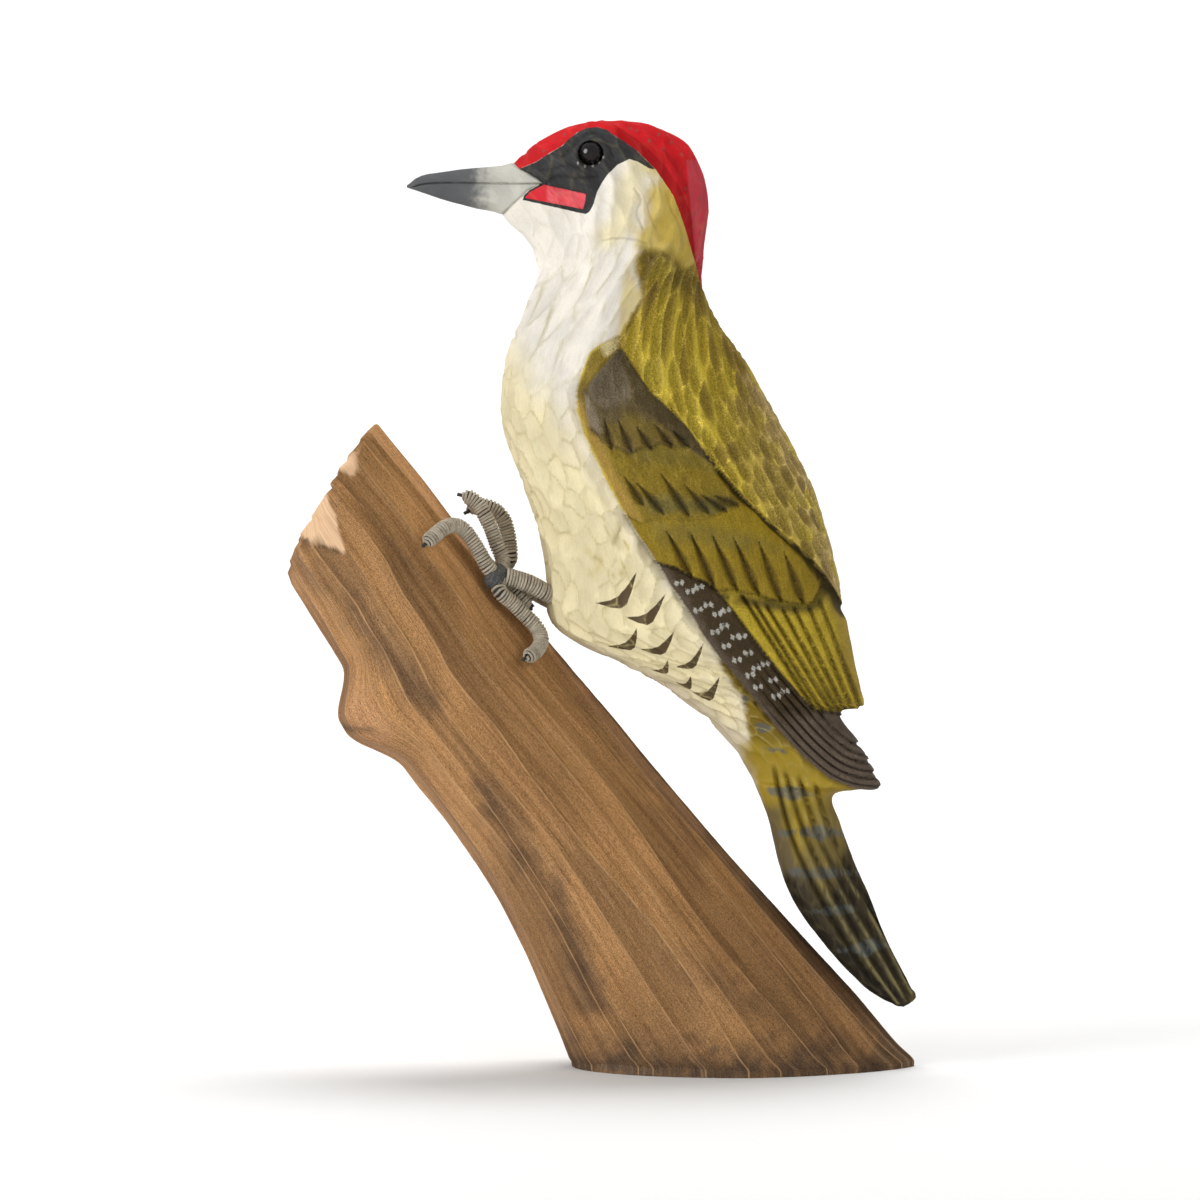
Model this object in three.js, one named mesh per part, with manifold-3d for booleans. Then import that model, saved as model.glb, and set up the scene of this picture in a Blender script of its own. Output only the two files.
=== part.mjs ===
// A carved and painted green woodpecker gripping a leaning log, at life size.
// Units are millimetres and +Z is up. The bird faces -X. Its left flank, on the -Y side, and its right
// flank mirror each other. The origin is the middle of the log's flat underside.
import * as THREE from "three";
import { mergeVertices } from "three/addons/utils/BufferGeometryUtils.js";
import Module from "manifold-3d";

const wasm = await Module();
wasm.setup();

// Driving dimensions of the bird.
const BIRD_SIDES = 16;
const BIRD_RINGS = 36;
const EYE_RADIUS = 3.75;
const EYE_SOCKET_RADIUS = 5.0;
const EYE_SOCKET_SHIFT = 2.6;
const EYE_CENTRE = [-50.1, 11.6, 305.0];
const WING_FADE = [12.5, 15]; // stations between which the wing rises out of the breast
const MANTLE_FADE = [12, 15.2]; // and the mantle out of the neck
const FLANK_REACH = 60; // half the length of a cutter that passes through both flanks

// Driving dimensions of the feet and the log.
const TOE_RADIUS = 2.45;
const LEG_RADIUS = 3.0;
const LEG_SOCKET_DEPTH = 5;
const WIRE_SIDES = 8;
const JOINT_RADII = [4.2, 3.0, 2.8];
const LOG_SIDES = 18;
const LOG_RINGS_PER_STATION = 2;
const KNOB_HEIGHT = 9.5;
const GAP = 0.3; // between pieces that touch
const SMALLEST_STEP = 0.03; // finer slivers that cuts leave on the bird are merged

// Stations of the bird from the beak's tip to the tail's tip. Each pairs a point on the line of throat,
// breast and belly with one on the line of crown, back and tail, then gives the half-width between the
// flanks and how blunt the section is at its front and at its back, where 0.5 is round.
const BIRD_STATIONS = [
  [-111.2, 293.3, -111.2, 294.2, 0.8, 0.5, 0.5],
  [-104.0, 290.8, -105.3, 297.6, 2.6, 0.5, 0.6],
  [-90.0, 286.7, -90.0, 299.8, 4.8, 0.5, 0.65],
  [-80.8, 284.8, -77.0, 301.4, 6.6, 0.5, 0.6],
  [-77.0, 281.2, -67.3, 308.7, 11.4, 0.48, 0.48],
  [-74.0, 278.5, -55.0, 314.4, 14.2, 0.48, 0.42],
  [-71.7, 275.5, -42.0, 315.8, 15.6, 0.48, 0.42],
  [-69.6, 272.5, -28.0, 313.6, 16.1, 0.48, 0.44],
  [-68.3, 269.0, -17.0, 306.8, 16.2, 0.48, 0.46],
  [-67.7, 265.0, -11.7, 294.5, 16.2, 0.48, 0.48],
  [-69.0, 260.0, -10.8, 283.0, 16.8, 0.48, 0.5],
  [-71.7, 254.5, -12.0, 272.0, 18.2, 0.47, 0.5],
  [-75.6, 245.3, -13.0, 261.5, 20.4, 0.46, 0.5],
  [-79.0, 236.0, -8.0, 249.5, 22.6, 0.45, 0.5],
  [-80.4, 225.5, 1.0, 236.5, 24.2, 0.43, 0.5],
  [-79.3, 213.0, 11.0, 219.0, 25.6, 0.43, 0.5],
  [-73.7, 197.0, 23.0, 196.0, 26.6, 0.42, 0.5],
  [-68.3, 181.5, 28.6, 179.5, 26.6, 0.41, 0.5],
  [-65.3, 167.0, 32.8, 162.5, 25.6, 0.4, 0.5],
  [-65.0, 156.0, 35.0, 150.5, 24.4, 0.38, 0.5],
  [-63.7, 149.0, 36.7, 142.5, 24.0, 0.38, 0.48],
  [-55.0, 142.0, 38.3, 134.0, 22.4, 0.38, 0.45],
  [-41.0, 135.3, 39.9, 127.0, 20.8, 0.38, 0.42],
  [-27.0, 128.0, 40.8, 120.6, 19.0, 0.38, 0.4],
  [-21.5, 124.0, 33.8, 118.0, 18.2, 0.38, 0.36],
  [-12.0, 116.7, 38.2, 110.5, 16.6, 0.38, 0.33],
  [-4.3, 108.7, 42.3, 104.0, 15.2, 0.36, 0.31],
  [0.2, 102.5, 45.2, 98.0, 13.8, 0.34, 0.3],
  [3.5, 97.0, 45.6, 93.2, 13.0, 0.32, 0.3],
  [4.8, 94.0, 31.2, 91.0, 12.4, 0.3, 0.7],
  [9.0, 83.3, 33.3, 81.0, 12.0, 0.28, 0.85],
  [12.7, 68.0, 39.0, 66.0, 11.4, 0.28, 0.9],
  [17.3, 56.0, 45.3, 52.5, 10.0, 0.28, 0.9],
  [26.7, 42.3, 50.7, 41.0, 8.4, 0.28, 0.9],
  [40.0, 27.7, 56.7, 28.7, 6.0, 0.28, 0.9],
  [50.0, 21.0, 58.6, 23.7, 4.2, 0.35, 0.7],
  [54.3, 19.7, 58.2, 22.3, 2.6, 0.45, 0.5],
];

// Wing layers from the lowest to the top one, as flat feather rows seen from the side. Each feather lies
// between a line of roots and a line of tips, and every row stands prouder than the one it covers. An
// edge lists the points of a row's curved front edge, from its tip back to its root.
const FEATHER_ROWS = [
  {
    root: [[-27.3, 168], [-10, 166]],
    tip: [[30.6, 93.2], [47, 101]],
    edge: [[21, 103.3], [6.3, 120], [-7.3, 137], [-18, 153]],
    count: 4,
    tipStep: 1.5,
    raise: 1.6,
    grooveDepth: 1.1,
    grooveStart: 0.1,
  },
  {
    root: [[-7, 160], [40, 162]],
    tip: [[24.6, 119.6], [43, 121]],
    count: 6,
    tipStep: 1.2,
    raise: 3.6,
    grooveDepth: 1.2,
    grooveStart: 0.1,
  },
  {
    root: [[-33.4, 177], [24, 171]],
    tip: [[-25.8, 166.6], [27, 154.5]],
    count: 7,
    tipStep: 2.0,
    raise: 5.0,
    grooveDepth: 1.2,
    grooveStart: 0.05,
  },
];

const WING_COVERTS = {
  raise: 5.6,
  outline: [[-50, 247], [-54, 229.5], [-55.7, 219.3], [-52, 210], [-46, 198], [-38, 182.7], [-33, 177.6],
    [-20, 183.2], [-8, 182.6], [20, 172], [40, 190], [0, 240]],
};

const SHOULDER = {
  raise: 6.4,
  outline: [[-42, 245], [-47.5, 238], [-52.4, 228], [-52.6, 217], [-48.7, 211.3], [-43, 206.4], [-37, 205],
    [-27.7, 208.7], [-10, 207], [10, 230], [-20, 250]],
};

const MANTLE = {
  raise: 8.2,
  edge: [[-42, 249], [-39, 239], [-29.7, 224.5], [-19.3, 215.2], [-9.5, 200], [3, 188], [16, 176],
    [28, 164], [34.3, 154]],
  behindBack: [[70, 150], [40, 270], [-42, 270]],
};

const TAIL_GROOVES = { root: [[4, 99], [31, 103]], tip: [[45, 23], [59.5, 27]], count: 5, depth: 1.2 };
const GROOVE_MOUTH = 1.5;
const GROOVE_ROOT = 0.35;

// The mouth line of the closed beak, and the cut that parts the wing tips along the middle of the back.
const GAPE = { from: [-110, 293.4], to: [-71.5, 295.4], width: 0.7, depth: 0.8 };
const WING_PARTING = { bed: [[36, 162], [31, 140], [34, 119], [37, 104], [41, 90]], reach: 14, halfWidth: 5 };

// Stations of the log from its broken upper end down to its underside: a point on the lower left contour,
// one on the upper right contour, and the half-depth between them.
const LOG_STATIONS = [
  [-164.7, 182.7, -130.3, 227.7, 25.0],
  [-152.7, 165.3, -116.3, 210.0, 28.0],
  [-142.7, 148.7, -102.0, 192.7, 30.0],
  [-134.3, 134.7, -89.0, 176.0, 31.0],
  [-125.7, 118.0, -73.7, 156.3, 32.0],
  [-111.7, 96.7, -58.3, 137.0, 32.0],
  [-98.3, 80.0, -42.3, 118.3, 32.5],
  [-85.0, 60.7, -23.0, 95.3, 33.5],
  [-74.3, 40.7, -1.0, 69.0, 35.0],
  [-67.0, 24.0, 20.0, 45.0, 36.5],
  [-62.0, 12.0, 38.7, 24.3, 37.5],
  [-59.3, 5.3, 52.0, 9.3, 38.0],
  [-58.3, 2.7, 58.7, 3.0, 38.0],
  [-56.3, 0.0, 58.0, 0.0, 37.0],
];
const LOG_EDGE_SHARPNESS = 1.33; // 1 is a round section, more draws the upper side to a blunt ridge
const KNOB = { rise: [3.05, 3.85], fall: [4.05, 4.9], angle: 192, spread: 58 };
const END_CUTS = [
  { point: [-137.5, 0, 190.5], normal: [-0.845, 0.1, 0.52] },
  { point: [-129.5, -14, 206.5], normal: [-0.72, -0.12, 0.68] },
  { point: [-141.3, -24, 180.5], normal: [-0.78, -0.5, 0.36] },
  { point: [-150.5, 0, 166.5], normal: [-0.95, 0.05, 0.3] },
  { point: [-131, 22, 196], normal: [-0.7, 0.62, 0.34] },
];

// Each foot as it lies on the log. A knot gives a station of the log, an angle round it from its upper
// ridge in degrees, and the height of the wire's middle over the wood.
const FEET = {
  left: {
    side: -1,
    joint: { at: [3.56, 26, 3.6], lean: [0.35, 0.8, 0.5] },
    leg: { from: [-76.6, 13.2, 165.4], to: [-65.3, 8.6, 159.2] },
    toes: {
      outer_front: [[3.36, 28, 4.2], [3.18, 28, 5], [2.92, 27.5, 5.5], [2.72, 28, 5.5], [2.58, 31, 5],
        [2.49, 38, 4.4], [2.47, 45, 3.6], [2.46, 52, 3.1]],
      inner_front: [[3.46, 12, 4.8], [3.24, 10, 6.2], [3.02, 8, 7.7], [2.78, 7, 8.7], [2.58, 6, 8.9],
        [2.42, 6, 8], [2.33, 6, 6.5]],
      outer_back: [[3.74, 30.5, 3.3], [3.94, 28, 3.2], [4.2, 26, 3.4], [4.44, 25, 3.6], [4.6, 29, 3.6],
        [4.66, 37, 3.2], [4.64, 44, 3.1]],
      inner_back: [[3.76, 17.5, 3.2], [3.9, 17, 3.2], [4.14, 16, 3.1]],
    },
  },
  right: {
    side: 1,
    joint: { at: [3.6, 26, 3.6], lean: [0.35, 0.8, 0.5] },
    leg: { from: [-76.4, 15.2, 162.4], to: [-65.3, 9, 156.4] },
    toes: {
      outer_front: [[3.4, 30, 4], [3.1, 33, 4.6], [2.85, 36, 4.6], [2.66, 42, 4.2], [2.56, 50, 3.4],
        [2.54, 57, 3.1]],
      inner_front: [[3.5, 12.5, 7], [3.36, 11, 9.4], [3.19, 10.5, 11.7], [3.01, 10, 13], [2.84, 10, 12.6],
        [2.7, 11, 11], [2.62, 12, 8.5], [2.6, 12, 5.4]],
      outer_back: [[3.78, 33, 3.3], [4, 37, 3.3], [4.24, 40, 3.4], [4.42, 43, 3.4], [4.52, 49, 3.2],
        [4.53, 56, 3.1]],
      inner_back: [[3.84, 14.5, 3.1], [3.95, 14, 3.1], [4.14, 14, 3.1]],
    },
  },
};

const clamp01 = (value) => Math.min(1, Math.max(0, value));
const smoothStep = (from, to, value) => {
  const share = clamp01((value - from) / (to - from));
  return share * share * (3 - 2 * share);
};
const between = (a, b, share) => a.map((value, i) => value + (b[i] - value) * share);

// Reads a table of stations at a fractional station number, through a smooth curve in each column.
function readStation(table, station) {
  const last = table.length - 1;
  const index = Math.min(Math.floor(station), last - 1);
  const f = station - index;
  const row = (i) => table[Math.min(Math.max(i, 0), last)];
  return row(index).map((start, column) => {
    const [before, end, after] = [row(index - 1)[column], row(index + 1)[column], row(index + 2)[column]];
    const slope = index > 0 ? (end - before) / 2 : end - start;
    const nextSlope = index + 2 <= last ? (after - start) / 2 : end - start;
    const bend = 3 * (end - start) - 2 * slope - nextSlope;
    return start + slope * f + bend * f ** 2 + (slope + nextSlope - 2 * (end - start)) * f ** 3;
  });
}

// Skins equal rings of points into one closed surface, with a fan over each end.
function skin(rings) {
  const sides = rings[0].length;
  const points = rings.flat();
  const faces = [];
  for (let ring = 0; ring + 1 < rings.length; ring++) {
    for (let side = 0; side < sides; side++) {
      const a = ring * sides + side;
      const b = ring * sides + ((side + 1) % sides);
      faces.push(a, b, a + sides, b, b + sides, a + sides);
    }
  }
  [0, rings.length - 1].forEach((ring, end) => {
    const middle = rings[ring].reduce((sum, point) => sum.add(point), new THREE.Vector3());
    const hub = points.push(middle.divideScalar(sides)) - 1;
    for (let side = 0; side < sides; side++) {
      const a = ring * sides + side;
      const b = ring * sides + ((side + 1) % sides);
      faces.push(...(end ? [hub, a, b] : [hub, b, a]));
    }
  });
  const geometry = new THREE.BufferGeometry().setFromPoints(points);
  geometry.setIndex(faces);
  return geometry;
}

function toSolid(geometry) {
  const bare = geometry.clone();
  bare.deleteAttribute("normal");
  bare.deleteAttribute("uv");
  const merged = mergeVertices(bare, 1e-4);
  return new wasm.Manifold(
    new wasm.Mesh({
      numProp: 3,
      vertProperties: new Float32Array(merged.attributes.position.array),
      triVerts: new Uint32Array(merged.index.array),
    }),
  );
}

function toGeometry(solid) {
  const mesh = solid.getMesh();
  const geometry = new THREE.BufferGeometry();
  geometry.setAttribute("position", new THREE.BufferAttribute(mesh.vertProperties, 3));
  geometry.setIndex(new THREE.BufferAttribute(mesh.triVerts, 1));
  geometry.computeVertexNormals();
  return geometry;
}

// A closed bird whose flanks stand `raise(station)` millimetres outside the bare body's.
function birdShell(raise) {
  const last = BIRD_STATIONS.length - 1;
  const rings = [];
  for (let i = 0; i <= BIRD_RINGS; i++) {
    const station = (i * last) / BIRD_RINGS;
    const [frontX, frontZ, backX, backZ, halfWidth, frontBlunt, backBlunt] =
      readStation(BIRD_STATIONS, station);
    const widest = frontBlunt / (frontBlunt + backBlunt);
    const reach = halfWidth + raise(station);
    const ring = [];
    for (let side = 0; side < BIRD_SIDES; side++) {
      const turn = (2 * Math.PI * side) / BIRD_SIDES;
      const depth = (1 - Math.cos(turn)) / 2;
      const share = (depth / widest) ** frontBlunt * ((1 - depth) / (1 - widest)) ** backBlunt;
      const y = side % (BIRD_SIDES / 2) ? Math.sign(Math.sin(turn)) * reach * share : 0;
      ring.push(new THREE.Vector3(frontX + (backX - frontX) * depth, y, frontZ + (backZ - frontZ) * depth));
    }
    rings.push(ring);
  }
  return toSolid(skin(rings));
}

// A prism through both flanks over an outline of [x, z] points.
function throughFlanks(outline, reach = FLANK_REACH) {
  const shape = new THREE.Shape(outline.map(([x, z]) => new THREE.Vector2(x, z)));
  const geometry = new THREE.ExtrudeGeometry(shape, { depth: 2 * reach, bevelEnabled: false });
  geometry.translate(0, 0, -reach);
  geometry.rotateX(Math.PI / 2);
  return toSolid(geometry);
}

// A long narrow wedge in side view, sharp at its root and open at its mouth.
function wedgeOutline(root, mouth, rootWidth, mouthWidth) {
  const along = new THREE.Vector2(mouth[0] - root[0], mouth[1] - root[1]).normalize();
  const offset = (point, width) => [point[0] - along.y * width, point[1] + along.x * width];
  return [
    offset(root, rootWidth / 2),
    offset(root, -rootWidth / 2),
    offset(mouth, -mouthWidth / 2),
    offset(mouth, mouthWidth / 2),
  ];
}

// The outline of a feather row: its roots, then the stepped edge of its tips.
function featherOutline({ root, tip, count, tipStep, edge = [] }) {
  const rootMiddle = between(root[0], root[1], 0.5);
  const tipMiddle = between(tip[0], tip[1], 0.5);
  const run = new THREE.Vector2(tipMiddle[0] - rootMiddle[0], tipMiddle[1] - rootMiddle[1]).normalize();
  const outline = [root[0], root[1]];
  for (let feather = count - 1; feather >= 0; feather--) {
    const [tipX, tipZ] = between(tip[0], tip[1], (feather + 0.7) / count);
    outline.push(between(tip[0], tip[1], (feather + 0.98) / count));
    outline.push([tipX + run.x * tipStep, tipZ + run.y * tipStep]);
  }
  outline.push(tip[0], ...edge);
  return outline;
}

function featherGrooves({ root, tip, count, grooveStart = 0 }, beyond) {
  const grooves = [];
  for (let feather = 1; feather < count; feather++) {
    const top = between(root[0], root[1], feather / count);
    const end = between(tip[0], tip[1], feather / count);
    const start = between(top, end, grooveStart);
    grooves.push(throughFlanks(wedgeOutline(start, between(top, end, beyond), GROOVE_ROOT, GROOVE_MOUTH)));
  }
  return wasm.Manifold.union(grooves);
}

function carveWings(body) {
  let bird = body;
  for (const row of FEATHER_ROWS) {
    const layer = throughFlanks(featherOutline(row)).intersect(birdShell(() => row.raise));
    const cuts = featherGrooves(row, 1.06).subtract(birdShell(() => row.raise - row.grooveDepth));
    bird = bird.add(layer).subtract(cuts);
  }
  for (const layer of [WING_COVERTS, SHOULDER]) {
    const shell = birdShell((station) => layer.raise * smoothStep(...WING_FADE, station));
    bird = bird.add(throughFlanks(layer.outline).intersect(shell));
  }
  const edge = new THREE.SplineCurve(MANTLE.edge.map(([x, z]) => new THREE.Vector2(x, z)));
  const edgePoints = edge.getPoints(7).map((point) => [point.x, point.y]);
  const mantleShell = birdShell((station) => MANTLE.raise * smoothStep(...MANTLE_FADE, station));
  return bird.add(throughFlanks([...edgePoints, ...MANTLE.behindBack]).intersect(mantleShell));
}

function carveTail(bird) {
  const cuts = featherGrooves(TAIL_GROOVES, 1.05);
  return bird.subtract(cuts.subtract(birdShell(() => -TAIL_GROOVES.depth)));
}

// A V-shaped furrow down the middle of the back, with its bed as deep as the named points.
function partWingTips(bird) {
  const { bed, reach, halfWidth } = WING_PARTING;
  const rings = bed.map(([x, z]) => [
    new THREE.Vector3(x, 0, z),
    new THREE.Vector3(x + reach, halfWidth, z),
    new THREE.Vector3(x + reach, -halfWidth, z),
  ]);
  return bird.subtract(toSolid(skin(rings)));
}

function carveGape(bird) {
  const slit = throughFlanks(wedgeOutline(GAPE.to, GAPE.from, GAPE.width, GAPE.width));
  return bird.subtract(slit.subtract(birdShell(() => -GAPE.depth)));
}

function ball(radius, segments, rings) {
  return new THREE.SphereGeometry(radius, segments, rings);
}

function carveSockets(bird) {
  return [-1, 1].reduce((carved, side) => {
    const [x, y, z] = EYE_CENTRE;
    const seat = toSolid(ball(EYE_RADIUS + GAP, 10, 7).translate(x, side * y, z));
    const rim = toSolid(ball(EYE_SOCKET_RADIUS, 10, 7).translate(x, side * (y + EYE_SOCKET_SHIFT), z));
    return carved.subtract(seat).subtract(rim);
  }, bird);
}

// A point over the log's surface: at a station, an angle round it and a height over the wood.
function logPoint(station, degrees, height = 0) {
  const [leftX, leftZ, rightX, rightZ, halfDepth] = readStation(LOG_STATIONS, station);
  const angle = THREE.MathUtils.degToRad(degrees);
  const power = Math.cos(angle) > 0 ? LOG_EDGE_SHARPNESS : 1;
  const bent = (value) => Math.sign(value) * Math.abs(value) ** power;
  const fromKnob = Math.abs(((degrees - KNOB.angle + 540) % 360) - 180) / KNOB.spread;
  const knob =
    KNOB_HEIGHT * smoothStep(...KNOB.rise, station) * (1 - smoothStep(...KNOB.fall, station)) *
    (1 - smoothStep(0.25, 1, fromKnob));
  const across = new THREE.Vector3(rightX - leftX, 0, rightZ - leftZ);
  const reach = across.length() / 2;
  const point = new THREE.Vector3((leftX + rightX) / 2, 0, (leftZ + rightZ) / 2);
  point.addScaledVector(across.normalize(), bent(Math.cos(angle)) * reach - knob);
  point.y = bent(Math.sin(angle)) * halfDepth;
  if (height === 0) return point;
  const alongLog = logPoint(station + 0.01, degrees).sub(logPoint(station - 0.01, degrees));
  const roundLog = logPoint(station, degrees + 0.5).sub(logPoint(station, degrees - 0.5));
  return point.addScaledVector(alongLog.cross(roundLog).normalize(), height);
}

// Long knife-cut facets: the section's corners wander a little from station to station.
function facetAngle(side, station) {
  const even = (-360 * side) / LOG_SIDES;
  return even + 4 * Math.sin(side * 2.3 + station * 0.5) + 2 * Math.sin(side * 5.1 - station * 0.9);
}

function halfSpaceCutter({ point, normal }) {
  const size = 160;
  const box = new THREE.BoxGeometry(size, size, size).translate(0, 0, size / 2);
  const outward = new THREE.Vector3(...normal).normalize();
  box.applyQuaternion(new THREE.Quaternion().setFromUnitVectors(new THREE.Vector3(0, 0, 1), outward));
  return toSolid(box.translate(...point));
}

function buildLog() {
  const last = LOG_STATIONS.length - 1;
  const count = last * LOG_RINGS_PER_STATION;
  const rings = [];
  for (let i = 0; i <= count; i++) {
    const station = (i * last) / count;
    const ring = [];
    for (let side = 0; side < LOG_SIDES; side++) {
      ring.push(logPoint(station, facetAngle(side, station)));
    }
    rings.push(ring);
  }
  const trunk = toSolid(skin(rings));
  return END_CUTS.reduce((log, cut) => log.subtract(halfSpaceCutter(cut)), trunk);
}

// A wire along a smooth curve through its knots, closed at both ends.
function wire(knots, radius, steps) {
  const circle = new THREE.Shape();
  for (let side = 0; side < WIRE_SIDES; side++) {
    const turn = (2 * Math.PI * side) / WIRE_SIDES;
    const corner = [radius * Math.cos(turn), radius * Math.sin(turn)];
    if (side === 0) circle.moveTo(...corner);
    else circle.lineTo(...corner);
  }
  const extrudePath = new THREE.CatmullRomCurve3(knots);
  return new THREE.ExtrudeGeometry(circle, { steps, extrudePath, bevelEnabled: false });
}

function legKnots({ side, leg }, extra) {
  const start = new THREE.Vector3(leg.from[0], side * leg.from[1], leg.from[2]);
  const end = new THREE.Vector3(leg.to[0], side * leg.to[1], leg.to[2]);
  const run = end.clone().sub(start).normalize();
  return [start, end.addScaledVector(run, extra)];
}

function drillLegSockets(bird) {
  return Object.values(FEET).reduce((drilled, foot) => {
    const hole = toSolid(wire(legKnots(foot, LEG_SOCKET_DEPTH + GAP), LEG_RADIUS + GAP, 1));
    return drilled.subtract(hole);
  }, bird);
}

function buildBird() {
  let bird = carveWings(birdShell(() => 0));
  bird = carveGape(partWingTips(carveTail(bird)));
  return drillLegSockets(carveSockets(bird)).simplify(SMALLEST_STEP);
}

function material(color, roughness, metalness = 0) {
  return new THREE.MeshStandardMaterial({ color, roughness, metalness });
}

const PAINTED_WOOD = material(0x8c7534, 0.6);
const LOG_WOOD = material(0x97724d, 0.7);
const EYE_GLASS = material(0x0a0808, 0.08);
const THREAD = material(0xafa390, 0.85);
const PUTTY = material(0x60605c, 0.6);

function addPiece(group, name, geometry, finish) {
  const piece = new THREE.Mesh(geometry, finish);
  piece.name = name;
  group.add(piece);
}

function addEyes(group) {
  const [x, y, z] = EYE_CENTRE;
  addPiece(group, "left_eye", ball(EYE_RADIUS, 10, 7).translate(x, -y, z), EYE_GLASS);
  addPiece(group, "right_eye", ball(EYE_RADIUS, 10, 7).translate(x, y, z), EYE_GLASS);
}

function addFoot(group, name, foot) {
  const knot = ([station, degrees, height]) => logPoint(station, foot.side * degrees, height);
  const joint = new THREE.IcosahedronGeometry(1, 1).scale(...JOINT_RADII);
  const lean = new THREE.Vector3(foot.joint.lean[0], -foot.side * foot.joint.lean[1], foot.joint.lean[2]);
  const turn = new THREE.Quaternion().setFromUnitVectors(new THREE.Vector3(1, 0, 0), lean.normalize());
  joint.applyQuaternion(turn).translate(...knot(foot.joint.at).toArray());
  addPiece(group, `${name}_foot_joint`, joint, PUTTY);
  const leg = wire(legKnots(foot, LEG_SOCKET_DEPTH), LEG_RADIUS, 3);
  addPiece(group, `${name}_leg`, leg, THREAD);
  for (const [toe, knots] of Object.entries(foot.toes)) {
    addPiece(group, `${name}_${toe}_toe`, wire(knots.map(knot), TOE_RADIUS, knots.length), THREAD);
  }
}

const group = new THREE.Group();
addPiece(group, "bird", toGeometry(buildBird()), PAINTED_WOOD);
addPiece(group, "log", toGeometry(buildLog()), LOG_WOOD);
addEyes(group);
addFoot(group, "left", FEET.left);
addFoot(group, "right", FEET.right);

export default group;
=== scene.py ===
"""A carved and painted green woodpecker gripping a leaning log, finished and lit in a pale studio.

Sizes are in millimetres until a mesh is made, and the frame is the solid model's: +Z up, the bird facing
-X, its left flank on the -Y side. Painted and carved edges are drawn once, on a side view called the
sketch, and both flanks take them from there.
"""
import logging
import math
from collections.abc import Callable
from dataclasses import dataclass, replace
from enum import Enum
from functools import reduce

import bmesh
import bpy
import numpy as np
from mathutils import Matrix, Vector


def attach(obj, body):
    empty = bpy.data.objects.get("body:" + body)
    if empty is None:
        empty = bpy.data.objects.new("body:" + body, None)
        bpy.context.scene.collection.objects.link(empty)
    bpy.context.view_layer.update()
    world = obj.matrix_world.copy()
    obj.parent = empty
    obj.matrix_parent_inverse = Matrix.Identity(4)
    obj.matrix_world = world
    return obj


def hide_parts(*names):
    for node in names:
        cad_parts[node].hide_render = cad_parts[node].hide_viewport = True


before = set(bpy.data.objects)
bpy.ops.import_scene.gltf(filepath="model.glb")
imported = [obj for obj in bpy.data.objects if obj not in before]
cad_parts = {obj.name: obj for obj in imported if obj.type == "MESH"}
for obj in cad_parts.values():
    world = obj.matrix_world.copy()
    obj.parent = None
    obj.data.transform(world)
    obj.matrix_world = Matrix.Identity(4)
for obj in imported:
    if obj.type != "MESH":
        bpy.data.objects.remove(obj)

LOG = logging.getLogger("woodpecker")
MM = 0.001
Pairs = tuple[tuple[float, float], ...]
Triple = tuple[float, float, float]
Array = np.ndarray
Arrays = tuple[Array, Array, Array]
Socket = bpy.types.NodeSocket
Material = bpy.types.Material
Mesh = bpy.types.Mesh
Piece = bpy.types.Object
EYE_CENTRE: Triple = (-50.1, 11.6, 305.0)


def smooth(low: float, high: float, value: Array) -> Array:
    """Rises from 0 at low to 1 at high along an S-shaped curve."""
    share = np.clip((value - low) / (high - low), 0, 1)
    return share * share * (3 - 2 * share)


def lattice(column: Array, row: Array, seed: int) -> Array:
    """A fixed random number from 0 to 1 for each cell of a grid.

    Args:
        column: whole column numbers.
        row: whole row numbers.
        seed: picks one of many such grids.

    Returns:
        One number for each cell.
    """
    mixed = column.astype(np.int64) * 374761393 + row.astype(np.int64) * 668265263 + seed * 974634777
    mixed = (mixed ^ (mixed >> 13)) & 0xFFFFFFFF
    mixed = (mixed * 1274126177) & 0xFFFFFFFF
    mixed = mixed ^ (mixed >> 16)
    return (mixed & 0xFFFFFF) / float(0x1000000)


def cloud(x: Array, y: Array, seed: int, octaves: int = 3) -> Array:
    """Soft random hills between about -1 and 1, one unit across."""
    total = np.zeros_like(x, dtype=float)
    size = 1.0
    for octave in range(octaves):
        gx, gy = x / size, y / size
        ix, iy = np.floor(gx), np.floor(gy)
        fx, fy = smooth(0, 1, gx - ix), smooth(0, 1, gy - iy)
        corner = [[lattice(ix + i, iy + j, seed + octave) for j in (0, 1)] for i in (0, 1)]
        low = corner[0][0] * (1 - fx) + corner[1][0] * fx
        high = corner[0][1] * (1 - fx) + corner[1][1] * fx
        total += (low * (1 - fy) + high * fy - 0.5) * 2 * size
        size /= 2
    return total / 1.3


def smooth_run(start: Array, end: Array, leave: Array, arrive: Array, share: Array) -> Array:
    """Points on the curve from start to end that leaves and arrives with the given slopes."""
    bend = 3 * (end - start) - 2 * leave - arrive
    return start + leave * share + bend * share**2 + (leave + arrive - 2 * (end - start)) * share**3


def read_stations(table: Array, station: Array) -> Array:
    """Reads a table of stations at fractional station numbers, through a smooth curve in each column.

    Args:
        table: one row for each whole station.
        station: the station numbers to read.

    Returns:
        One row for each number.
    """
    last = len(table) - 1
    index = np.clip(np.floor(station).astype(int), 0, last - 1)
    before, start = table[np.clip(index - 1, 0, last)], table[index]
    end, after = table[index + 1], table[np.clip(index + 2, 0, last)]
    slope = np.where((index > 0)[:, None], (end - before) / 2, end - start)
    next_slope = np.where((index + 2 <= last)[:, None], (after - start) / 2, end - start)
    return smooth_run(start, end, slope, next_slope, (station - index)[:, None])


def curved(points: Pairs, steps: int = 6) -> Array:
    """A smooth open line through the given points."""
    table = np.array(points, float)
    return read_stations(table, np.linspace(0, len(table) - 1, (len(table) - 1) * steps + 1))


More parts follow.
